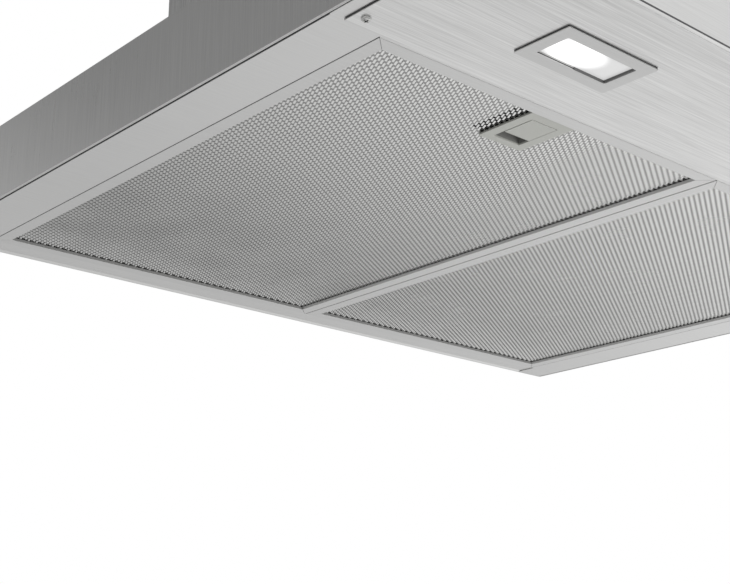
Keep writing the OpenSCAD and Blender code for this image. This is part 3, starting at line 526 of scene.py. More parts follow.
# %% [markdown]
# The shapes themselves are those of a workshop: blocks, round bars, turned pieces, outlines that
# are drawn out, and plates with an opening. A last helper cuts blocks out of a finished piece.

# %% Shapes
def block(bm, corner, opposite, turned=Matrix.Identity(4)):
    """A box between two opposite corners."""
    a, b = Vector(corner), Vector(opposite)
    size = [abs(v) for v in b - a]
    where = Matrix.Translation((a + b) / 2) @ turned @ Matrix.Diagonal((*size, 1))
    bmesh.ops.create_cube(bm, size=1, matrix=where)


def rod(bm, start, end, radius, end_radius=None, steps=32):
    """A round bar, or a cone if the radii differ."""
    start, end = Vector(start), Vector(end)
    along = end - start
    where = Matrix.Translation((start + end) / 2) @ along.to_track_quat("Z",
        "Y").to_matrix().to_4x4()
    bmesh.ops.create_cone(bm, cap_ends=True, segments=steps, radius1=radius,
        radius2=radius if end_radius is None else end_radius,
        depth=along.length, matrix=where)


def join_rings(bm, rings, closed=False):
    """Faces between each ring of corners and the next."""
    for here, there in zip(rings, rings[1:] + rings[:1] if closed else rings[1:]):
        for i in range(len(here)):
            k = (i + 1) % len(here)
            bm.faces.new((here[i], here[k], there[k], there[i]))


def lathe(bm, outline, place, axis, steps=48):
    """Turns a closed outline of (radius, height) pairs round an axis through place."""
    turn = Vector(axis).to_track_quat("Z", "Y").to_matrix()
    rings = [[bm.verts.new(Vector(place) + turn @ Vector((r * math.cos(a), r * math.sin(a), h)))
        for r, h in outline] for a in circle(steps)]
    for i in range(steps):
        here, there = rings[i], rings[(i + 1) % steps]
        for j in range(len(outline)):
            k = (j + 1) % len(outline)
            if outline[j][0] > 0 or outline[k][0] > 0:
                bm.faces.new((here[j], here[k], there[k], there[j]))


def extruded(bm, outline, step):
    """A flat closed outline of points, drawn out by a vector."""
    rings = [[bm.verts.new(p) for p in outline],
        [bm.verts.new(Vector(p) + Vector(step)) for p in outline]]
    bm.faces.new(rings[0])
    bm.faces.new(rings[1][::-1])
    join_rings(bm, rings[::-1])


def rounded(middle, half_x, half_y, radius, steps=5):
    """Points of a rectangle with round corners, in plan."""
    points = []
    for i, (to_x, to_y) in enumerate(((1, 1), (-1, 1), (-1, -1), (1, -1))):
        for j in range(steps + 1):
            a = math.pi / 2 * (i + j / steps)
            points.append((middle[0] + to_x * (half_x - radius) + radius * math.cos(a),
                    middle[1] + to_y * (half_y - radius) + radius * math.sin(a)))
    return points


def plate(bm, outline, low, high):
    """A plate between two levels, from its outline in plan."""
    extruded(bm, [(u, v, low) for u, v in outline], (0, 0, high - low))


def ring_plate(bm, outer, inner, low, high):
    """A plate with an opening, between two outlines in plan that have as many points each."""
    join_rings(bm, [[bm.verts.new((x, y, z)) for x, y in outline]
            for outline, z in ((outer, low), (inner, low), (inner, high), (outer, high))],
        closed=True)


def final_mesh(thing):
    """The mesh that an object shows, with its modifiers done."""
    graph = bpy.context.evaluated_depsgraph_get()
    return bpy.data.meshes.new_from_object(thing.evaluated_get(graph))


def carve(piece, *boxes):
    """Cuts boxes, each given by two corners, out of a piece."""
    for corners in boxes:
        bm = bmesh.new()
        block(bm, *corners)
        bm.transform(Matrix.Scale(mm, 4))
        tool_mesh = bpy.data.meshes.new("tool")
        bm.to_mesh(tool_mesh)
        bm.free()
        tool = bpy.data.objects.new("tool", tool_mesh)
        scene.collection.objects.link(tool)
        cut = piece.modifiers.new("cut", "BOOLEAN")
        cut.object = tool
        cut.solver = "EXACT"
        done = final_mesh(piece)
        piece.modifiers.remove(cut)
        piece.data = done
        bpy.data.objects.remove(tool)
    return piece


print("Shapes ready")

# %% [markdown]
# ## Canopy
# The canopy is one sheet of stainless steel, a millimetre thick, folded down on three sides, with
# a mouth in its top for the blower and a window in its front for the buttons. All its walls lie
# square to each other, so it is laid out in cells, metal or air, and a face is made wherever the
# two meet. The folds of such four-sided faces can be rounded cleanly, which the long triangles of
# a cut sheet don't allow.

# %% Canopy sheet
def metal_cells(bm, breaks, is_metal):
    """The faces between metal and air, for cells between the given levels on each axis."""
    middles = [[(a + b) / 2 for a, b in zip(levels, levels[1:])] for levels in breaks]
    corners = {}

    def metal(cell):
        inside = all(0 <= c < len(m) for c, m in zip(cell, middles))
        return inside and is_metal(*(m[c] for c, m in zip(cell, middles)))

    for cell in itertools.product(*(range(len(m)) for m in middles)):
        for axis, step in itertools.product(range(3), (0, 1)):
            beyond = [c + (2 * step - 1) * (k == axis) for k, c in enumerate(cell)]
            if not metal(cell) or metal(beyond):
                continue
            face = []
            for turn_a, turn_b in ((0, 0), (1, 0), (1, 1), (0, 1)):
                key = list(cell)
                key[axis] += step
                key[(axis + 1) % 3] += turn_a
                key[(axis + 2) % 3] += turn_b
                key = tuple(key)
                if key not in corners:
                    corners[key] = bm.verts.new([breaks[k][key[k]] for k in range(3)])
                face.append(corners[key])
            bm.faces.new(face if step else face[::-1])


sheet = 1.0
corner_round = 2.0
mouth_x, mouth_front, mouth_back = 107, -207, -7
window_x, window_low, window_high = 55, 17, 33
shell_low, shell_high, *_ = box_of("canopy_shell")
inner_x, inner_front, inner_top = shell_high.x - sheet, shell_low.y + sheet, shell_high.z - sheet


def is_canopy(x, y, z):
    """Whether that point lies in the sheet of the canopy."""
    wall = abs(x) > inner_x or y < inner_front or z > inner_top
    in_mouth = z > inner_top and abs(x) < mouth_x and mouth_front < y < mouth_back
    in_window = y < inner_front and abs(x) < window_x and window_low < z < window_high
    return wall and not in_mouth and not in_window


right_of_middle = [window_x, mouth_x, inner_x, shell_high.x]
canopy = bmesh.new()
metal_cells(canopy, ([-x for x in right_of_middle[::-1]] + right_of_middle,
        [shell_low.y, inner_front, mouth_front, mouth_back, shell_high.y],
        [shell_low.z, window_low, window_high, inner_top, shell_high.z]), is_canopy)
uprights = [e for e in canopy.edges
    if all(abs(v.co.x) > inner_x + sheet / 2 and v.co.y < inner_front - sheet / 2 for v in e.verts)]
bmesh.ops.bevel(canopy, geom=uprights, offset=corner_round, segments=4, affect="EDGES", profile=0.5)
add_piece("canopy_sheet", canopy, steel_canopy, "canopy_shell", edge=0.4)
print("Upright corner edges of the canopy:", len(uprights))

# %% [markdown]
# Under the canopy hang the pan, whose strips frame the filters, and the back rail. Their shapes
# come from the CAD model; what makes them real is the brushing and the rounded edges.

# %% Sheet metal under the canopy and round the duct
for node, finish, edge in (
        ("base_pan", steel_underside, 0.25), ("back_rail", steel_underside, 0.25),
        ("canopy_back", steel_underside, 0), ("centre_bar", zinc, 0.25),
        ("chimney_lower", steel_chimney, 0.4), ("chimney_upper", steel_chimney, 0.12),
        ("chimney_bracket", zinc, 0.1)):
    dress(node, finish, edge)
print("Sheet metal dressed:", len(dressed))

# %% [markdown]
# The skirt's lower edge is hemmed: the sheet is folded back on itself inside, so that nobody
# cuts a hand on it. The hem is drawn out along the three sides of the skirt, and it overlaps the
# sheet, so that the two read as one folded edge. The lamp panel is a sheet of its own. Its front
# edge turns up over the skirt in a small round lip, a white line beside a dark one; that dark
# line, and the dark edges at the panel's ends, are black strips of painted shadow.

# %% Hem and lamp panel
hem, hem_high, hem_drop = 0.5, 7, 0.03
hem_low, hem_top = shell_low.z - hem_drop, shell_low.z + hem_high
inside_x, inside_y = shell_high.x - sheet - hem, shell_low.y + sheet + hem
make_beside("canopy_hem", steel_canopy, "canopy_shell",
    [(block, (to * inside_x, inside_y, hem_low), (to * (inside_x + 1.4 * hem), -1.3, hem_top))
        for to in both]
    + [(block, (-inside_x - 0.4 * hem, inside_y - 1.4 * hem, hem_low),
        (inside_x + 0.4 * hem, inside_y, hem_top))], edge=0.2)
panel_low, panel_high, _, panel_half = box_of("lamp_panel")
lip, lip_high, lip_round = 0.4, 1.3, 0.7
lip_face = shell_low.y - lip
quarter = [math.pi / 2 * i / 6 for i in range(7)]
outline = [(panel_high.y, 0), (panel_high.y, panel_low.z)]
outline += [(lip_face + lip_round * (1 - math.sin(a)), panel_low.z + lip_round * (1 - math.cos(a)))
    for a in quarter]
outline += [(lip_face, lip_high), (shell_low.y, lip_high), (shell_low.y, 0)]
panel = make("lamp_panel_sheet", steel_lamp_panel, "lamp_panel",
    [(extruded, [(panel_low.x, y, z) for y, z in outline], (2 * panel_half.x, 0, 0))], edge=0.08)
for side in sides:
    low, high, *_ = box_of("lamp_housing_" + side)
    carve(panel, ((low.x - 0.2, low.y - 0.2, -2), (high.x + 0.2, high.y + 0.2, 1)))
print("Gap between hem and pan, mm:", round(inside_x - box_of("base_pan")[1].x, 2))

# %% [markdown]
# Where two sheets meet, a hood has a seal, or it would whistle and drip: pale felt before and
# between the filters. The thin dark lines above the lamp panel's lip, at its ends and beside the
# pan are painted shadow: black strips laid in the gaps between the pieces. The back panel ends in
# a small fold under the rail.

# %% Seals, strips of painted shadow, and the fold at the back
shadow_strip_width = 0.15
bar_low, *_ = box_of("centre_bar")
# Painted shadow: a black strip on the skirt above the lamp panel's lip, for the gap between them.
make_beside("panel_edge_seal", black_plastic, "lamp_panel",
    [(block, (panel_low.x + 1, shell_low.y - 0.12, lip_high),
        (panel_high.x - 1, shell_low.y + 0.1, lip_high + 1.3))])
make_beside("filter_seal", pale_felt, "lamp_panel",
    [(block, (-266, -401.6, 0.1), (266, -401.05, 6))],
    slot="white_plastic")
make_beside("canopy_back_fold", steel_underside, "canopy_back",
    [(extruded, [(-269, -3.4, 0.8), (-269, -1.2, 0.8), (-269, -1.2, 0)], (538, 0, 0))])
# Painted shadow: black strips beside the filter frames and between the pan and the hem, for the
# gaps there.
make_beside("pan_side_seals", black_plastic, "base_pan",
    [(block, (to * x, front, low), (to * wide, back, high)) for to in both
        for x, wide, front, back, low, high in (
            (266.04, 266.58, -400, -20, 0.15, 6), (297.3, 297.8, -403, -2, -0.04, 0.2))])
make_beside("centre_seal", pale_felt, "centre_bar",
    [(block, (-0.3, bar_low.y + 1, 1.2), (0.3, -20, bar_low.z + 0.1))], slot="white_plastic")
# Painted shadow: black strips on the upper half of the lamp panel's ends, for the gap beside it.
make_beside("lamp_panel_seal", black_plastic, "lamp_panel",
    [(block, (x, panel_low.y + 1, -0.5), (x + shadow_strip_width, panel_high.y - 1, 0))
        for x in (panel_low.x - shadow_strip_width, panel_high.x)])
print("Foam beside the lamp panel, mm:", shadow_strip_width)

# %% [markdown]
# ## Grease filters
# Each filter is a cassette of aluminium: four channel bars that meet in mitres at the corners,
# round a pack of expanded sheets. A modeller could press one frame from a block, but then the
# fine mitre lines would be missing, so each bar is drawn out on its own with a hair of a gap.

# %% Filter frames
mitre_gap, bar_edge = 0.12, 0.2
frame_face, frame_wall = 2.1, 0.8
frame_side, frame_end = 9, 8.4
tongue = 6.2


def filter_opening(side):
    """The low and high corner in plan of the opening in a filter's frame."""
    low, high, *_ = box_of("filter_frame_" + side)
    bars = Vector((frame_side, frame_end))
    return low.xy + bars, high.xy - bars


def square_corners(low, high):
    """The four corners in plan, in order round the rectangle."""
    return [Vector(p) for p in ((low.x, low.y), (high.x, low.y), (high.x, high.y), (low.x, high.y))]


for side in sides:
    node = "filter_frame_" + side
    low, high, middle, half = box_of(node)
    out, inn = square_corners(low, high), square_corners(*filter_opening(side))
    top = 2 * half.z
    bm = bmesh.new()
    for i in range(4):
        k = (i + 1) % 4
        along = (out[k] - out[i]).normalized() * mitre_gap / 2
        wall = frame_wall / (frame_side if i % 2 else frame_end)
        outline = [(0, 0), (1, 0), (1, frame_face), (wall, frame_face), (wall, top - frame_wall),
            (1, top - frame_wall), (1, top), (0, top)]
        ends = [
            [bm.verts.new((*(out[c].lerp(inn[c], u) + step), low.z + z)) for u, z in outline]
            for c, step in ((i, along), (k, -along))]
        bm.faces.new(ends[0])
        bm.faces.new(ends[1][::-1])
        join_rings(bm, ends[::-1])
    piece = add_piece(node + "_bars", bm, aluminium_across, node, edge=bar_edge)
    carve(piece, ((middle.x - tongue, low.y - 1, 3.4), (middle.x + tongue, low.y + 1.8, 5.8)))
print("Faces in a filter frame:", len(piece.data.polygons))

# %% [markdown]
# The bars are cut and crimped over the mesh. Thin matt skins on the bars' inner edges carry
# painted light and shade, each with its own finish: the edges that run from left to right are
# painted dark, and those that run from front to back pale, for how the light falls on them.
# Behind them lies the crimped edge of the pack of sheets, in the shade, painted dark grey for it.

# %% Painted light and shade on the cut and crimped edges
# Painted shade and light: dark skins on the edges from left to right, pale ones on the edges from
# front to back, and a dark grey crimp for the shade behind them.
shaded_edge_paint = cast("painted_shade_edge_aluminium", (0.27, 0.27, 0.265), 0.0, 0.6)
lit_edge_paint = cast("painted_light_edge_aluminium", (0.68, 0.68, 0.67), 0.0, 0.6)
shaded_crimp_aluminium = cast("shaded_crimp_aluminium", (0.20, 0.20, 0.195), 0.0, 0.6)
skin = 0.06
crimp_low, crimp_high, crimp_hold, crimp_reach = 3.45, 3.6, 2, 2.4
for side in sides:
    node = "filter_frame_" + side
    base = box_of(node)[0].z
    low, high = filter_opening(side)
    under, over = base + 0.25, base + frame_face - 0.1
    make_beside("filter_cut_edges_" + side, shaded_edge_paint, node,
        [(block, (low.x, y - skin, under), (high.x, y + skin, over)) for y in (high.y, low.y)])
    make_beside("filter_side_cut_edges_" + side, lit_edge_paint, node,
        [(block, (x - skin, low.y, under), (x + skin, high.y, over)) for x in (low.x, high.x)])
    make_beside("filter_crimp_" + side, shaded_crimp_aluminium, "filter_layers_" + side,
        [(block, (low.x - crimp_hold, high.y - crimp_reach, crimp_low),
            (high.x + crimp_hold, high.y + crimp_hold, crimp_high))]
        + [(block, (x - to * crimp_hold, low.y + 4, crimp_low),
                (x + to * crimp_reach, high.y - crimp_reach, crimp_high))
            for x, to in ((low.x, 1), (high.x, -1))])
print("Finishes so far:", len(bpy.data.materials))

# %% [markdown]
# Expanded mesh starts as a plain sheet. A machine slits it in staggered rows and pulls, and each
# strip between two rows of slits becomes a zigzag ribbon, turned on its side, that touches its
# neighbours at short bonds. The ribbons are made just so: every one gets stations along its
# length, two at each bond, and a rectangular section that leans by the same angle everywhere.
# Arrays of numbers build tens of thousands of strands in a moment, where copies of one diamond
# would be heavy and would show their joints.

# %% Helpers for expanded mesh
lean = math.radians(31)
# Painted shade: the slanting strands get darker tones than the bonds, the rising ones darkest, for
# how the light falls on them.
bond_tone, rising_strand_shade, falling_strand_shade = 0.90, 0.41, 0.45


def between(points, corners):
    """Which points lie between two corners in plan."""
    return ((points[..., :2] > corners[0]) & (points[..., :2] < corners[1])).all(-1)


def expanded_sheet(low, high, level, pitch, width, thick, bond, keep_out, shades=()):
    """Points, faces and tones of the ribbons between two corners in plan, at a level.

    keep_out is a hole in plan. Each of shades is two corners and the tone that the slanting
    strands between them get."""
    step_x, step_y = pitch[0] / 2, pitch[1] / 2
    rows = int((high[1] - low[1]) / step_y)
    columns = int((high[0] - low[0]) / step_x) + 1
    row = np.arange(rows)[:, None]
    column = np.arange(columns)[None, :]
    up_row = (column + row) % 2
    side_of_bond = 1 - 2 * up_row
    y = low[1] + (row + up_row) * step_y + side_of_bond * width / 2 * math.cos(lean)
    z = level - side_of_bond * width / 2 * math.sin(lean) + 0 * y
    x = low[0] + column * step_x + 0 * y
    stations = np.stack([np.stack([x + to * bond / 2, y, z], -1) for to in both], 2)
    stations = stations.reshape(rows, columns * 2, 3)
    across = np.array([0, math.cos(lean), -math.sin(lean)]) * width / 2
    up = np.array([0, math.sin(lean), math.cos(lean)]) * thick / 2
    section = np.stack([-across - up, across - up, across + up, -across + up])
    points = stations[:, :, None, :] + section[None, None]
    ids = np.arange(points[..., 0].size).reshape(points.shape[:3])
    a, b = ids[:, :-1], ids[:, 1:]
    quads = np.stack([np.stack([a[..., s], a[..., (s + 1) % 4], b[..., (s + 1) % 4], b[..., s]], -1)
            for s in range(4)], 2)
    rising = np.diff(stations[:, :, 2], axis=1)
    tone = np.where(np.abs(rising) < 1e-3, bond_tone,
        np.where(rising > 0, rising_strand_shade, falling_strand_shade))
    middle = (stations[:, :-1] + stations[:, 1:]) / 2
    for *corners, shade in shades:
        tone = np.where(between(middle, corners) & (tone < bond_tone), shade, tone)
    kept = ~between(middle, keep_out)
    tones = np.repeat(tone[:, :, None], 4, axis=2)[kept]
    return points.reshape(-1, 3), quads[kept].reshape(-1, 4), tones.ravel()


def add_strands(name, points, quads, tones, finish, node):
    """A piece from arrays of points in millimetres, four-sided faces and a tone for each."""
    used, quads = np.unique(quads, return_inverse=True)
    mesh = bpy.data.meshes.new(name)
    mesh.vertices.add(len(used))
    mesh.vertices.foreach_set("co", (points[used] * mm).astype(np.float32).ravel())
    mesh.loops.add(quads.size)
    mesh.loops.foreach_set("vertex_index", quads.astype(np.int32).ravel())
    mesh.polygons.add(len(tones))
    mesh.polygons.foreach_set("loop_start", np.arange(0, quads.size, 4, dtype=np.int32))
    mesh.update(calc_edges=True)
    mesh.attributes.new("painted_strand_shade", "FLOAT", "FACE").data.foreach_set("value",
        tones.astype(np.float32))
    add_mesh(name, mesh, finish, node, turn=20)


def mesh_field(side, latch_margin):
    """Two corners of a filter's mesh, which runs under the frame, and two of the latch's hole."""
    low, high = filter_opening(side)
    latch_low, latch_high, *_ = box_of("latch_surround_" + side)
    return ((low.x - under_frame, low.y - under_frame),
        (high.x + under_frame, high.y + under_frame),
        ((latch_low.x - latch_margin, latch_low.y - 10),
            (latch_high.x + latch_margin, latch_high.y + latch_margin)))


print("Lean of the strands, degrees:", round(math.degrees(lean)))

# %% [markdown]
# The outer sheet is the one that shows. Near the frame and the latch its strands lie in the
# shade of the edges, so they get a darker tone there. Each sheet is split in a front and a back
# part, to keep the pieces light.

# %% Expanded mesh
diamond = (5.95, 3.61)
ribbon_w, ribbon_t, bond_l = 1.15, 0.45, 1.3
mesh_level = 2.9
under_frame, under_latch = 3, 3.6
edge_tone, latch_edge_tone, edge_shade = 0.32, 0.06, 3.2
for side in sides:
    low, high, hole = mesh_field(side, -under_latch)
    latch_low = box_of("latch_surround_" + side)[0]
    rim_x, rim_y = high[0] - under_frame, high[1] - under_frame
    shades = [((low[0], rim_y - edge_shade), (high[0], high[1]), edge_tone),
        ((rim_x - edge_shade / 2, low[1]), (high[0], high[1]), edge_tone),
        ((latch_low.x - 2.4 * edge_shade, latch_low.y), (latch_low.x + under_latch, hole[1][1]),
            latch_edge_tone)]
    points, quads, tones = expanded_sheet(low, high, mesh_level, diamond, ribbon_w, ribbon_t,
        bond_l, hole, shades)
    in_front = points[quads].mean(1)[:, 1] < (low[1] + high[1]) / 2
    for part, chosen in (("front", in_front), ("back", ~in_front)):
        add_strands(f"filter_mesh_{side}_{part}", points, quads[chosen], tones[chosen],
            mesh_aluminium, "filter_mesh_" + side)
    print(side, "outer mesh faces:", len(quads))

# %% [markdown]
# Behind the outer sheet lie two more, coarser and darker, because no light reaches them. They
# are what one sees through the diamonds, and they keep the filter from looking hollow. On two
# steel hooks at the back the whole cassette hangs from the rail.

# %% Inner layers
layer_diamond = (10.0, 5.2)
layer_w, layer_t, layer_bond = 1.3, 0.4, 1.0
layer_shift = 3.7
cut_back = 2.5
for side in sides:
    low, high, hole = mesh_field(side, cut_back)
    for part, level, shift in (("middle", 5.3, 0), ("inner", 7.0, layer_shift)):
        arrays = expanded_sheet((low[0] + shift, low[1]), high, level, layer_diamond, layer_w,
            layer_t, layer_bond, hole)
        add_strands(f"filter_layers_{side}_{part}", *arrays, layer_aluminium,
            "filter_layers_" + side)
    dress("filter_hooks_" + side, hook_steel, 0.2)
    print(side, "inner sheet, faces:", len(arrays[1]))

# %% [markdown]
# ## Latch
# A plastic surround with a finger pocket, a plate that slides in it, and a spring behind the
# plate. The spring is wound from round wire; its coils are a path that climbs as it turns, with
# a ring of points at each step.

# %% Latch and its spring
def wound_wire(bm, start, end, radius, wire, turns, steps=14, ring_steps=8):
    """A helix of round wire between two points."""
    start, end = Vector(start), Vector(end)
    along = end - start
    stand = along.to_track_quat("Z", "Y").to_matrix()
    rings = []
    climb = along.length / (2 * math.pi * turns)
    for i in range(turns * steps + 1):
        a = 2 * math.pi * i / steps
        outward = Vector((math.cos(a), math.sin(a), 0))
        forward = Vector((-radius * math.sin(a), radius * math.cos(a), climb))
        side_way = forward.normalized().cross(outward)
        middle = radius * outward + Vector((0, 0, climb * a))
        ring = [middle + wire * (outward * math.cos(b) + side_way * math.sin(b))
            for b in circle(ring_steps)]
        rings.append([bm.verts.new(start + stand @ point) for point in ring])
    join_rings(bm, rings)
    bm.faces.new(rings[0][::-1])
    bm.faces.new(rings[-1])


spring_turns, wire_r = 7, 0.25
flange_top = 2.2
body_inset = 4.2
pocket_front, pocket_back, pocket_x = -385.2, -357.2, 10.1
pocket_mid, pocket_half = (pocket_front + pocket_back) / 2, (pocket_back - pocket_front) / 2
# Painted shade: the pocket's body is a darker grey than the flange, for the shade inside the finger
# recess.
pocket_shade_paint = cast("latch_pocket_painted_shade", (0.20, 0.20, 0.19), 0.0, 0.55, 0.04)
for side in sides:
    surround, slide, spring = (f"latch_{part}_{side}" for part in ("surround", "slide", "spring"))
    low, high, (x, y, _), half = box_of(surround)
    plate_low, plate_high, *_ = box_of(slide)
    spring_low, spring_high, (*_, spring_z), spring_half = box_of(spring)
    pocket = rounded((x, pocket_mid), pocket_x, pocket_half, 0.6)
    make("latch_flange_" + side, latch_plastic, surround,
        [(ring_plate, rounded((x, y), half.x, half.y, 1.2), pocket, low.z, flange_top)], edge=0.25)
    wall_x, wall_y = half.x - body_inset, pocket_half + 1.4
    body = make("latch_pocket_" + side, pocket_shade_paint, surround,
        [(ring_plate, rounded((x, pocket_mid), wall_x, wall_y, 1.2), pocket, flange_top - 0.1,
                high.z - 1.1),
            (block, (x - wall_x, pocket_mid - wall_y, high.z - 1.2),
                (x + wall_x, pocket_mid + wall_y, high.z)),
            (block, (x - 3, spring_high.y, plate_high.z - 1.9),
                (x + 3, spring_high.y + 1.4, high.z - 1))],
        edge=0.2)
    carve(body, ((x - 6.2, pocket_mid - wall_y - 1, 3.4), (x + 6.2, pocket_front + 1, 5.8)))
    grip_front = pocket_front + 0.4
    grip = rounded((x, (grip_front + plate_high.y) / 2), 9.7, (plate_high.y - grip_front) / 2, 0.5)
    make("latch_plate_" + side, latch_plastic, slide,
        [(plate, grip, low.z - 0.1, low.z + 2.4),
            (block, (x - 6, plate_low.y, 3.6), (x + 6, spring_low.y, plate_high.z)),
            (block, (x - 6, spring_low.y - 5, 3.3), (x + 6, spring_low.y, 3.7))], edge=0.2)
    coil = make(f"latch_spring_{side}_coil", spring_steel, spring,
        [(wound_wire, (x, spring_low.y + wire_r, spring_z), (x, spring_high.y - wire_r, spring_z),
            spring_half.z - wire_r, wire_r, spring_turns)])
    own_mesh(coil)
print("Length of a latch spring, mm:", round(spring_high.y - spring_low.y, 1))

# %% [markdown]
# ## Lamps
# Behind each bezel a frosted plastic lens spreads the light of one small chip. In the picture
# the lamp is on: an oval on the left of the window is burnt out to white, and the rest is a
# little dimmer. The oval is set in the lens's own coordinates, so it stays on the lens.

# %% Lamp lenses
oval_shift, oval_x, oval_y = -0.0080, 0.0195, 0.0115


def lit_lens(name, middle):
    """Frosted lens, lit from behind; the bright oval lies beside the middle."""
    material, tree, shader = new_finish(name, (0.30, 0.30, 0.30), 0.0, 0.35)
    place = add_node(tree, "TexCoord").outputs["Object"]
    oval = add_node(tree, "Mapping", vector_type="TEXTURE",
        inputs={"Location": (middle.x + oval_shift, middle.y, 0), "Scale": (oval_x, oval_y, 1),
            "Vector": place}).outputs["Vector"]
    flat = add_node(tree, "VectorMath", {0: oval, 1: (1, 1, 0)}, operation="MULTIPLY").outputs[0]
    distance = add_node(tree, "VectorMath", {0: flat}, operation="LENGTH").outputs["Value"]
    glow = add_node(tree, "MapRange", interpolation_type="SMOOTHSTEP",
        inputs={"Value": distance, "From Min": 0.70, "From Max": 1.15, "To Min": 0.95,
            "To Max": 0.42})
    shader.inputs["Emission Color"].default_value = (1, 1, 1, 1)
    tree.links.new(glow.outputs["Result"], shader.inputs["Emission Strength"])
    bump(tree, shader, even_noise(tree, 700), 0.00002)
    return material


flange, rim = 0.55, 0.4
half_window_x, half_window_y = 25, 9.75
# Painted shade: dark blocks on the right and rear inner walls of each lamp window, the walls of the
# recess that lie in shade.
window_shade_paint = cast("lamp_rim_plastic", (0.10, 0.10, 0.10), 0.0, 0.5, 0.04)
for side in sides:
    lens, bezel = "lamp_lens_" + side, "lamp_bezel_" + side
    dress(lens, lit_lens("lens_" + side, box_of(lens)[2] * mm), 0.2)
    low, high, middle, half = box_of(bezel)
    window = rounded(middle, half_window_x, half_window_y, 0.8)
    seat = low.z + flange
    for part, finish, outer, base, top, edge in (
        ("flange", steel_bezel, (half.x, half.y, 1.0), low.z, seat, 0.15),
        ("gasket", black_plastic, (half.x - 0.15, half.y - 0.15, 0.9), seat, -1, 0),
        ("collar", steel_bezel, (half_window_x + 0.8, half_window_y + 0.8, 1.2), seat, high.z, 0)):
        make(f"{bezel}_{part}", finish, bezel,
            [(ring_plate, rounded(middle, *outer), window, base, top)], edge=edge)
    right, rear = middle.x + half_window_x, middle.y + half_window_y
    make_beside("lamp_rim_" + side, window_shade_paint, bezel,
        [(block, (right - 2 * rim, middle.y - half_window_y + rim, low.z + 0.2),
                (right, rear - rim, -0.5)),
            (block, (middle.x + 2, rear - rim, low.z + 0.2), (right - 0.1, rear, -0.5))],
        slot="black_plastic")
    dress("lamp_housing_" + side, white_plastic, 0.3)
    dress("lamp_clips_" + side, spring_steel, 0.1)
print("Lamp window, mm:", 2 * half_window_x, "by", 2 * half_window_y)

# %% [markdown]
# Behind the lens sits a small circuit board with one chip, and a driver box feeds both lamps.
# They hide inside the canopy, but whoever opens it expects the parts of a real board.

# %% Lamp boards and driver
for side in sides:
    board = "lamp_board_" + side
    low, high, (x, y, _), half = box_of(board)
    base, chip = high.z - 1.6, low.z + 0.4
    make(board + "_plate", board_white, board, [(block, (low.x, low.y, base), high)], edge=0.2)
    make("lamp_chip_" + side, chip_yellow, board,
        [(block, (x - 4.5, y - 4.5, chip), (x + 4.5, y + 4.5, base)),
            (rod, (x, y, chip), (x, y, low.z), 3.6, 3.2)],
        edge=0.1)
    make_beside("lamp_parts_" + side, black_plastic, board,
        [(block, (x + to * off - wide, y + front, base - tall),
                (x + to * off + wide, y + back, base))
            for off, wide, front, back, tall in ((14, 1.5, -6, -4.4, 0.6), (19, 2, 1, 5, 1.0))
            for to in both], edge=0.1)

low, high, (x, y, _), half = box_of("lamp_driver")
lid = 2.0
make("lamp_driver_case", white_plastic, "lamp_driver",
    [(plate, rounded((x, y), half.x - inset, half.y - inset, 3), base, top)
        for inset, base, top in (
            (0.4, low.z, high.z - lid - 0.4), (0.9, high.z - lid - 0.5, high.z - lid + 0.2),
            (0, high.z - lid, high.z))]
    + [(block, (low.x + 12 + 5 * i, low.y, low.z + 4),
            (low.x + 14 + 5 * i, low.y + 1.2, high.z - 5))
        for i in range(9)], edge=0.4)
make_beside("lamp_driver_screws", screw_steel, "lamp_driver",
    [(rod, (u, y + v, high.z - 0.6), (u, y + v, high.z - 0.05), 2, 1.7, 20)
        for u in (x - half.x + 4, x + half.x - 4) for v in (-8, 0, 8)])
print("Lamp driver, mm:", [round(2 * v) for v in half])

# %% [markdown]
# ## Screws
# Every screw is turned from one outline: a shank, a flat seat and a domed head. Two crossed
# blocks, cut into the dome, make the cross recess.

# %% Screws
def screws(name, node, finish, seats, axis, way, head_r, head_h, shank_r, length):
    """Domed screws with cross recesses; each seat is where the head meets the sheet."""
    out = [0, 0, 0]
    out[axis] = way
    shank = [(0, -length), (shank_r * 0.6, -length), (shank_r, shank_r - length), (shank_r, 0)]
    dome = ((1, 0), (1, 0.30), (0.92, 0.58), (0.70, 0.86), (0.40, 0.98), (0, 1))
    outline = shank + [(r * head_r, h * head_h) for r, h in dome]
    piece = make(name, finish, node, [(lathe, outline, seat, out, 24) for seat in seats], turn=40)
    for seat, arm in itertools.product(seats, (1, 2)):
        reach = [0.13 * head_r] * 3
        reach[(axis + arm) % 3] = 0.58 * head_r
        reach[axis] = 0.575 * head_h
        middle, reach = Vector(seat) + 0.925 * head_h * Vector(out), Vector(reach)
        carve(piece, (middle - reach, middle + reach))


panel_seats = [(to * 284, -412, -1) for to in both]
box_seats = [(to * 109.5, y, 51.5) for to in both for y in (-184, -40)]
screws("panel_screws_cross", "panel_screws", screw_steel, panel_seats, 2, -1, 2.4, 1.6, 1.4, 6)
screws("blower_screws_cross", "blower_screws", zinc, box_seats, 2, 1, 3, 2, 1.9, 5.5)
for side, to in zip(sides, both):
    cover_seat = (to * 125.5, -40, 746)
    screws("cover_screw_" + side, "cover_screws", screw_steel, [cover_seat], 0, to,
        3.5, 1.8, 1.9, 4.8)
print("Screws:", len(panel_seats) + len(box_seats) + len(sides))

# %% [markdown]
# ## Buttons
# Five moulded caps look out of a pressed plate. Their edges are rounded more than sheet metal,
# and each has a printed mark: plain numbers for the motor, a lamp for the light. The numbers are
# outlines of letters, laid a few hundredths of a millimetre proud of the cap.

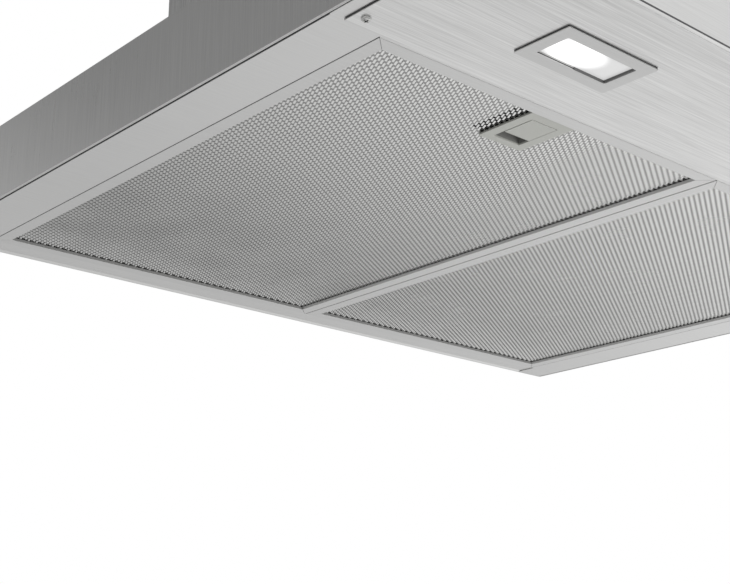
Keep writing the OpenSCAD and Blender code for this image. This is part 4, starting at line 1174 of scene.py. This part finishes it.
# %% Push buttons
def printed(name, text, size, place, node):
    """A mark that faces the front, in the plane of place."""
    curve = bpy.data.curves.new(name, "FONT")
    curve.body, curve.size, curve.extrude = text, size * mm, 0.01 * mm
    curve.align_x, curve.align_y = "CENTER", "CENTER"
    writer = bpy.data.objects.new(name + "_curve", curve)
    scene.collection.objects.link(writer)
    mesh = final_mesh(writer)
    bpy.data.objects.remove(writer)
    mesh.transform(Matrix.Translation(Vector(place) * mm) @ Matrix.Rotation(math.pi / 2, 4, "X"))
    mesh.name = name
    add_mesh(name, mesh, mark_ink, node, slot="black_plastic", stands=False)


marks = {"button_off": "0", "button_low": "1", "button_medium": "2", "button_high": "3",
    "button_light": None}
mark_proud = 0.03
for node, mark in marks.items():
    low, high, (x, _, z), half = box_of(node)
    face = low.y + mark_proud
    make(node + "_cap", button_plastic, node,
        [(extruded, [(u, front, v) for u, v in rounded((x, z), *size)], (0, deep, 0))
            for front, deep, size in ((face, 3.6, (7, 5, 1.6)), (-498.95, 0.9, (8.5, 6.5, 1.2)))]
        + [(block, (x - 2, -498.2, z - 2), (x + 2, high.y, z + 2))], edge=0.5)
    if mark:
        printed(node + "_mark", mark, 5.4, (x, face - 0.01, z), node)
        continue
    bulb, ray_reach, ray_half = Vector((x, face - 0.005, z + 0.5)), 2.2, Vector((0.45, 0.015, 0.14))
    rays = [(bulb + ray_reach * Vector((math.cos(a), 0, math.sin(a))), a)
        for a in (math.pi * i / 4 for i in range(5))]
    make_beside(node + "_mark", mark_ink, node,
        [(rod, (x, face + 0.01, bulb.z), (x, face - 0.02, bulb.z), 1.25, None, 24),
            (block, (x - 0.6, face - 0.02, z - 1.6), (x + 0.6, face + 0.01, z - 0.9))]
        + [(block, at - ray_half, at + ray_half, Matrix.Rotation(-a, 4, "Y")) for at, a in rays],
        slot="black_plastic")
print("Buttons:", len(marks))

# %% [markdown]
# Behind the caps a circuit board carries one small switch for each, with a metal face held by
# four rivets and a round plunger, and next to them the usual handful of parts.

# %% Switch board
low, high, *_ = box_of("switch_board")
back, button_pitch, z = -481, 22, 25
make("switch_board_plate", board_green, "switch_board", [(block, (low.x, back, low.z), high)],
    edge=0.1)
bodies, faces = [], []
for i in range(5):
    x = (i - 2) * button_pitch
    bodies += [(block, (x - 3, back - 3.7, z - 3), (x + 3, back, z + 3)),
        (rod, (x, back - 3.7, z), (x, back - 5, z), 1.5, 1.4, 20)]
    faces += [(block, (x - 2.9, back - 3.9, z + to * 1.7), (x + 2.9, back - 3.6, z + to * 2.9))
        for to in both]
    for u, v in itertools.product((-2.2, 2.2), repeat=2):
        faces += [(rod, (x + u, back - 3.8, z + v), (x + u, back - 4.1, z + v), 0.4, None, 10),
            (block, (x + 1.5 * u - 0.4, back - 0.4, z + v - 0.3),
                (x + 1.5 * u + 0.4, back, z + v + 0.3))]
    if i < 4:
        bodies.append((block, (x + 9, back - 1.1, z - 6), (x + 13, back, z - 3.4)))
        faces.append((block, (x + 9.4, back - 0.5, z + 2), (x + 12.6, back, z + 3.4)))
make("switch_bodies", black_plastic, "switch_board", bodies, edge=0.1)
make("switch_faces", spring_steel, "switch_board", faces)
print("Shapes on the switch board:", len(bodies) + len(faces))

# %% [markdown]
# ## Blower
# The impeller is a squirrel cage: a disc on the shaft carries a ring of short curved blades on
# either side, tied by a hoop at each end. Each blade is one arc, drawn out along the shaft.

# %% Impeller
axis_y, axis_z = -90.5, 155
impeller_r, impeller_half = 64, 45
blade_count = 32
blade_in, blade_out, blade_bend, blade_sweep, half_thick = 50.5, 63.2, 1.6, 3.2, 0.45


def round_x(bm, outline, steps=64):
    """Turns an outline of (radius, x) pairs round the blower's axis."""
    lathe(bm, outline, (0, axis_y, axis_z), (1, 0, 0), steps)


def radial(x, radius, angle, side_way=0.0):
    """A point at that radius and angle round the blower's axis."""
    return (x, axis_y + radius * math.cos(angle) - side_way * math.sin(angle),
        axis_z + radius * math.sin(angle) + side_way * math.cos(angle))


def spoke(bm, x, angle, near, far, deep):
    """A bar from the axis outwards; near and far are each (radius, half width)."""
    (r0, w0), (r1, w1) = near, far
    extruded(bm, [radial(x, r, angle, w) for r, w in ((r0, -w0), (r1, -w1), (r1, w1), (r0, w0))],
        (deep, 0, 0))


arc = [(blade_in + (blade_out - blade_in) * share,
        blade_sweep * share ** 2 + blade_bend * math.sin(math.pi * share))
    for share in (j / 5 for j in range(6))]
blade = [(r, sway + half_thick) for r, sway in arc]
blade += [(r, sway - half_thick) for r, sway in arc[::-1]]
make("impeller_blades", black_plastic, "impeller",
    [(extruded, [radial(to * 0.9, r, a, sway) for r, sway in blade],
            (to * (impeller_half - 2), 0, 0))
        for a in circle(blade_count) for to in both], turn=30)
hub = [(4.1, -7), (8, -7), (9, -5), (10, -0.8), (16, -0.8), (18, -1.6), (20, -0.8),
    (impeller_r - 0.3, -0.8), (impeller_r, -0.4), (impeller_r, 0.4), (impeller_r - 0.3, 0.8),
    (10, 0.8), (9, 5), (8, 7), (4.1, 7)]
hoop = [(60, 43.2), (60.4, 45), (63.4, 45), (impeller_r, 44.4), (impeller_r, 43), (62.8, 42.6)]
make("impeller_disc", black_plastic, "impeller",
    [(round_x, hub)] + [(round_x, [(r, to * x) for r, x in hoop]) for to in both]
    + [(spoke, to * 0.7, a, (9, 0.8), (34, 0.5), to * 1.8) for a in circle(6) for to in both],
    turn=30)
make("impeller_shaft_turned", spring_steel, "impeller_shaft",
    [(round_x, [(0, -11), (3.4, -11), (4, -10.4), (4, 57.4), (3.4, 58), (0, 58)], 32),
        (round_x, [(4, -9.4), (5.6, -9.2), (5.6, -8.4), (4, -8.2)], 32)],
    slot="motor_steel", turn=30)
print("Blades:", 2 * blade_count)

# %% [markdown]
# The motor sits inside one half of the cage. A stack of thin plates holds copper windings that
# bulge at both ends, and two cast end shields, open between their spokes, hold the bearings.
# A bracket with three arms carries it in the air inlet, on rubber, to keep its hum away.

# %% Motor
stack_start, stack_end = 22, 42
groove = ((36, 0.15), (36, 0.75), (35.7, 0.9))
grooved = [(r, x + dx) for x in range(stack_start, stack_end) for r, dx in groove]
make("motor_stack", motor_steel, "blower_motor",
    [(round_x, [(20, stack_start), (35.6, stack_start)] + grooved
            + [(35.6, stack_end), (20, stack_end)])], turn=25)
make("motor_windings", copper, "blower_motor",
    [(round_x, [(27 + 6.5 * math.cos(a), middle + 3.6 * math.sin(a)) for a in circle(12)], 72)
        for middle in (18.6, 45.4)]
    + [(rod, radial(x, 23, a), radial(x, 31, a + 0.1), 0.7, None, 8) for a in circle(12)
        for x in (14.9, 49.1)],
    slot="motor_steel", turn=50)
shields = [(rod, radial(11, 33.6, a), radial(53, 33.6, a), 1.4, None, 12) for a in circle(4, 0.8)]
for to, end, rim_at in ((-1, 10, stack_start), (1, 54, stack_end)):
    shields += [(round_x, [(33, rim_at), (33, end - to * 4), (34.4, end - to * 5),
                (36, end - to * 7), (36, rim_at)]),
        (round_x, [(4.6, end + to * 2), (11, end + to * 2), (12, end + to), (12, end), (14, end),
            (15, end - to * 2), (15, end - to * 4), (4.6, end - to * 4)])]
    shields += [(spoke, end, a, (14, 3.4), (34, 2.6), -to * 3.4) for a in circle(6, 0.3)]
make("motor_shields", hook_steel, "blower_motor", shields, slot="motor_steel", turn=30)
dress("motor_bracket", zinc, 0.2)
arm_tips = [radial(box_of("motor_bracket")[1].x, 60, a) for a in circle(3, math.pi / 2)]
rubber = [(1.6, -0.1), (4.6, -0.1), (5, 0.4), (4.4, 1.2), (1.6, 1.4)]
bolt = [(0, -3), (1.6, -3), (1.6, 1.4), (3, 1.4), (3, 2.6), (2.4, 3.2), (0, 3.4)]
make_beside("motor_bracket_rubbers", black_plastic, "motor_bracket",
    [(lathe, rubber, tip, (1, 0, 0), 24) for tip in arm_tips])
make_beside("motor_bracket_bolts", screw_steel, "motor_bracket",
    [(lathe, bolt, tip, (1, 0, 0), 6) for tip in arm_tips], turn=20)
print("Plates in the stack:", stack_end - stack_start)

# %% [markdown]
# Two moulded shells make the scroll. Their air inlets have a rounded lip, their walls carry
# shallow ribs, and ears with screws hold them together along the joint.

# %% Scroll
for side, to in zip(sides, both):
    dress("scroll_" + side, black_plastic, 0.4, turn=35)
    wall = to * 62
    mouth = [(54 + 1.3 * (1 - math.cos(a)), wall + to * (1.3 * math.sin(a) - 0.6))
        for a in (math.pi * k / 8 for k in range(9))]
    top = wall + 0.9 if to > 0 else wall - 0.9
    make_beside("scroll_ribs_" + side, black_plastic, "scroll_" + side,
        [(round_x, mouth)]
        + [(spoke, wall - to * 0.2, math.radians(150 + 26 * i), (58, 0.8), (70, 0.6), to * 1.2)
            for i in range(9)]
        + [(block, (wall - to * 0.2, -165, z - 0.6), (top, -45, z + 0.6))
            for z in (215, 245, 275, 305)], turn=40)
print("Scroll width, mm:", 2 * wall)

# %% [markdown]
# Electrics of the blower: a capacitor can in a band clip, a terminal box with a screwed cover,
# and the gland through which the mains cable comes in. The nut of the gland is six-sided, and a
# domed collar in front of it squeezes the cable.

# %% Capacitor, terminal box and gland
upwards = (0, 0, 1)
low, high, (x, *_), half = box_of("motor_capacitor")
can_r, can_top = 15, 220
y = low.y + can_r
make("capacitor_can", white_plastic, "motor_capacitor",
    [(lathe, [(0, 160), (12, 160), (14.4, 161), (can_r, 162.5), (can_r, 213), (14.2, 214),
        (14.2, 215), (can_r, 216), (can_r, 219.4), (14.2, can_top), (0, can_top)],
        (x, y, 0), upwards)], turn=30)
make("capacitor_clip", spring_steel, "motor_capacitor",
    [(lathe, [(can_r, 184), (can_r, 196), (14.6, 196), (14.6, 184)], (x, y, 0), upwards),
        (block, (x - 6, -4.5, 180), (x + 6, -1.5, 200))]
    + [(block, (x + to * 5 - 0.4, y - 3.1, can_top - 1), (x + to * 5 + 0.4, y + 3.1, high.z))
        for to in both], edge=0.2)
dress("terminal_box", white_plastic, 0.3)
low, high, (x, y, _), half = box_of("terminal_cover")
make("terminal_cover_lid", white_plastic, "terminal_cover",
    [(plate, rounded((x, y), half.x, half.y, 2.5), low.z, low.z + 1.4),
        (plate, rounded((x, y), half.x - 3, half.y - 3, 2), low.z + 1.3, low.z + 2.0)], edge=0.3)
button_head = [(0, 0), (2.6, 0), (2.6, 0.4), (1.8, 0.78), (0.6, 0.8), (0.5, 0.3), (0, 0.3)]
make_beside("terminal_cover_screws", screw_steel, "terminal_cover",
    [(lathe, button_head, (x + to * 15, y + to * 12, low.z + 1.2), upwards, 20) for to in both])
base = box_of("terminal_box")[0].z
make_beside("terminal_strip", white_plastic, "terminal_box",
    [(block, (x - 11 + 9 * i, y - 7, base + 2), (x - 4 + 9 * i, y + 7, base + 12))
        for i in range(3)], edge=0.4)
make_beside("terminal_strip_screws", screw_steel, "terminal_box",
    [(rod, (x - 7.5 + 9 * i, y + v, base + 11.5), (x - 7.5 + 9 * i, y + v, base + 13), 1.8, 1.6, 16)
        for i in range(3) for v in (-4, 4)])
low, high, (_, y, z), half = box_of("cable_gland")
bore = 3.5
thread = [(bore, high.x), (5, high.x), (5, 60.9), (bore, 60.9)]
nut = [(bore, 60.95), (8, 60.95), (8, 57.2), (bore, 57.2)]
dome = [(bore, 57.2), (7.2, 57.1), (7.2, 55), (6.6, 53.8), (5, low.x), (bore, low.x)]
make("cable_gland_nut", black_plastic, "cable_gland",
    [(lathe, outline, (0, y, z), (1, 0, 0), steps)
        for outline, steps in ((thread, 32), (nut, 6), (dome, 32))]
    + [(rod, *((x, y + 7.1 * math.cos(a), z + 7.1 * math.sin(a)) for x in (57, 54.4)), 0.5, 0.3, 8)
        for a in circle(12)], turn=30)
print("Cable hole, mm:", 2 * bore)

# %% [markdown]
# The outlet collar is moulded too. A bead round its mouth holds the duct, and screws hold its
# flange. The flaps are thin, so ribs stiffen them.

# %% Collar and flaps
dress("outlet_collar", black_plastic, 0.2, turn=35)
collar_y, flange_z = -107, 333
fin_near, fin_far, fin_high, half_fin = 74.2, 80, 8, 0.7


def round_collar(radius, angle, z, side_way=0.0):
    """A point at that radius and angle round the collar's axis."""
    return (radius * math.cos(angle) - side_way * math.sin(angle),
        collar_y + radius * math.sin(angle) + side_way * math.cos(angle), z)


bead = [(74.3, -1.4), (75.2, -0.8), (75.5, 0), (75.2, 0.8), (74.3, 1.4)]
fin = ((fin_near, flange_z), (fin_far, flange_z), (fin_near, flange_z + fin_high))
fin_turns = circle(8, 0.39)
make_beside("outlet_collar_ribs", black_plastic, "outlet_collar",
    [(lathe, bead, (0, collar_y, z), upwards, 96) for z in (352, 371)]
    + [(extruded, [round_collar(r, a, z, -half_fin) for r, z in fin],
        (-2 * half_fin * math.sin(a), 2 * half_fin * math.cos(a), 0)) for a in fin_turns], turn=40)
collar_screw = [(0, -0.5), (2.4, -0.5), (2.4, 0.5), (1.8, 1.1), (0, 1.3)]
make_beside("outlet_collar_screws", screw_steel, "outlet_collar",
    [(lathe, collar_screw, round_collar(78.6, a, flange_z), upwards, 20)
        for a in circle(4, math.pi / 4)])
rib_low, rib_high = 343.6, 345
for node, to in (("flap_rear", 1), ("flap_front", -1)):
    dress(node, black_plastic, 0.3)
    make_beside(node + "_ribs", black_plastic, node,
        [(block, (x - 0.6, collar_y + to * 9, rib_low),
                (x + 0.6, collar_y + to * math.sqrt(68 ** 2 - x ** 2), rib_high))
            for x in (-48, -18, 18, 48)]
        + [(block, (-60, collar_y + to * 11, rib_low), (60, collar_y + to * 12.2, rib_high))],
        edge=0.2)
dress("flap_rod", spring_steel, 0.2)
print("Fins round the collar:", len(fin_turns))

# %% [markdown]
# The blower box is folded sheet. Long pressed beads stiffen its sides, and rivets close its
# corners.

# %% Blower box
dress("blower_box", zinc, 0.2)
box_x, box_front = 106, -214
bead_low, bead_high, bead_half, bead_rise = 90, 290, 4.5, 1.7


def pressed_bead(bm, x, y, out):
    """A long raised bead on an upright wall, with tapered ends; out points away from the wall."""
    out, along = Vector(out), Vector((0, 0, 1))
    across = along.cross(out)
    rings = []
    for z, height in ((bead_low - bead_half, 0), (bead_low, 1), (bead_high, 1),
        (bead_high + bead_half, 0)):
        ring = []
        for k in range(7):
            share = k / 3 - 1
            lift = bead_rise * height * math.cos(share * math.pi / 2) ** 0.7 - 0.05
            reach = bead_half * share * (1 if height else 0.15)
            ring.append(bm.verts.new(Vector((x, y, z)) + across * reach + out * lift))
        rings.append(ring)
    join_rings(bm, rings)
    bm.faces.new(rings[0])
    bm.faces.new(rings[-1][::-1])


make_beside("blower_box_beads", zinc, "blower_box",
    [(pressed_bead, x, box_front, (0, -1, 0)) for x in (-60, 0, 60)]
    + [(pressed_bead, to * box_x, y, (to, 0, 0)) for to in both for y in (-160, -107, -54)],
    turn=50)
rivet = [(0, -0.3), (2, -0.3), (2, 0.2), (1.4, 0.8), (0, 1.1)]
make_beside("blower_box_rivets", hook_steel, "blower_box",
    [(lathe, rivet, place, out, 16) for z in (70, 120, 170, 220, 270, 315) for to in both
        for place, out in (((to * box_x, -206, z), (to, 0, 0)),
            ((to * 98, box_front, z), (0, -1, 0)))])
print("Beads, mm long:", bead_high - bead_low)

# %% [markdown]
# ## Everything else
# The nodes that still wear the plain colour of the CAD model get the finish of their slot.

# %% Remaining nodes
finish_of_slot = {
    "brushed_steel": steel_underside, "bezel_steel": steel_bezel, "screw_steel": screw_steel,
    "zinc_sheet": zinc, "hook_steel": hook_steel, "frame_aluminium": aluminium_across,
    "mesh_aluminium": aluminium_along, "latch_plastic": latch_plastic,
    "spring_steel": spring_steel, "white_plastic": white_plastic, "lamp_board": board_white,
    "button_plastic": button_plastic, "black_plastic": black_plastic,
    "switch_board": board_green, "motor_steel": motor_steel}
plain_nodes = [name for name, piece in nodes.items()
    if name not in dressed and not piece.hide_render]
for name in plain_nodes:
    dress(name, finish_of_slot[slot_of_node[name]], edge=0)
print("Dressed by slot:", plain_nodes)
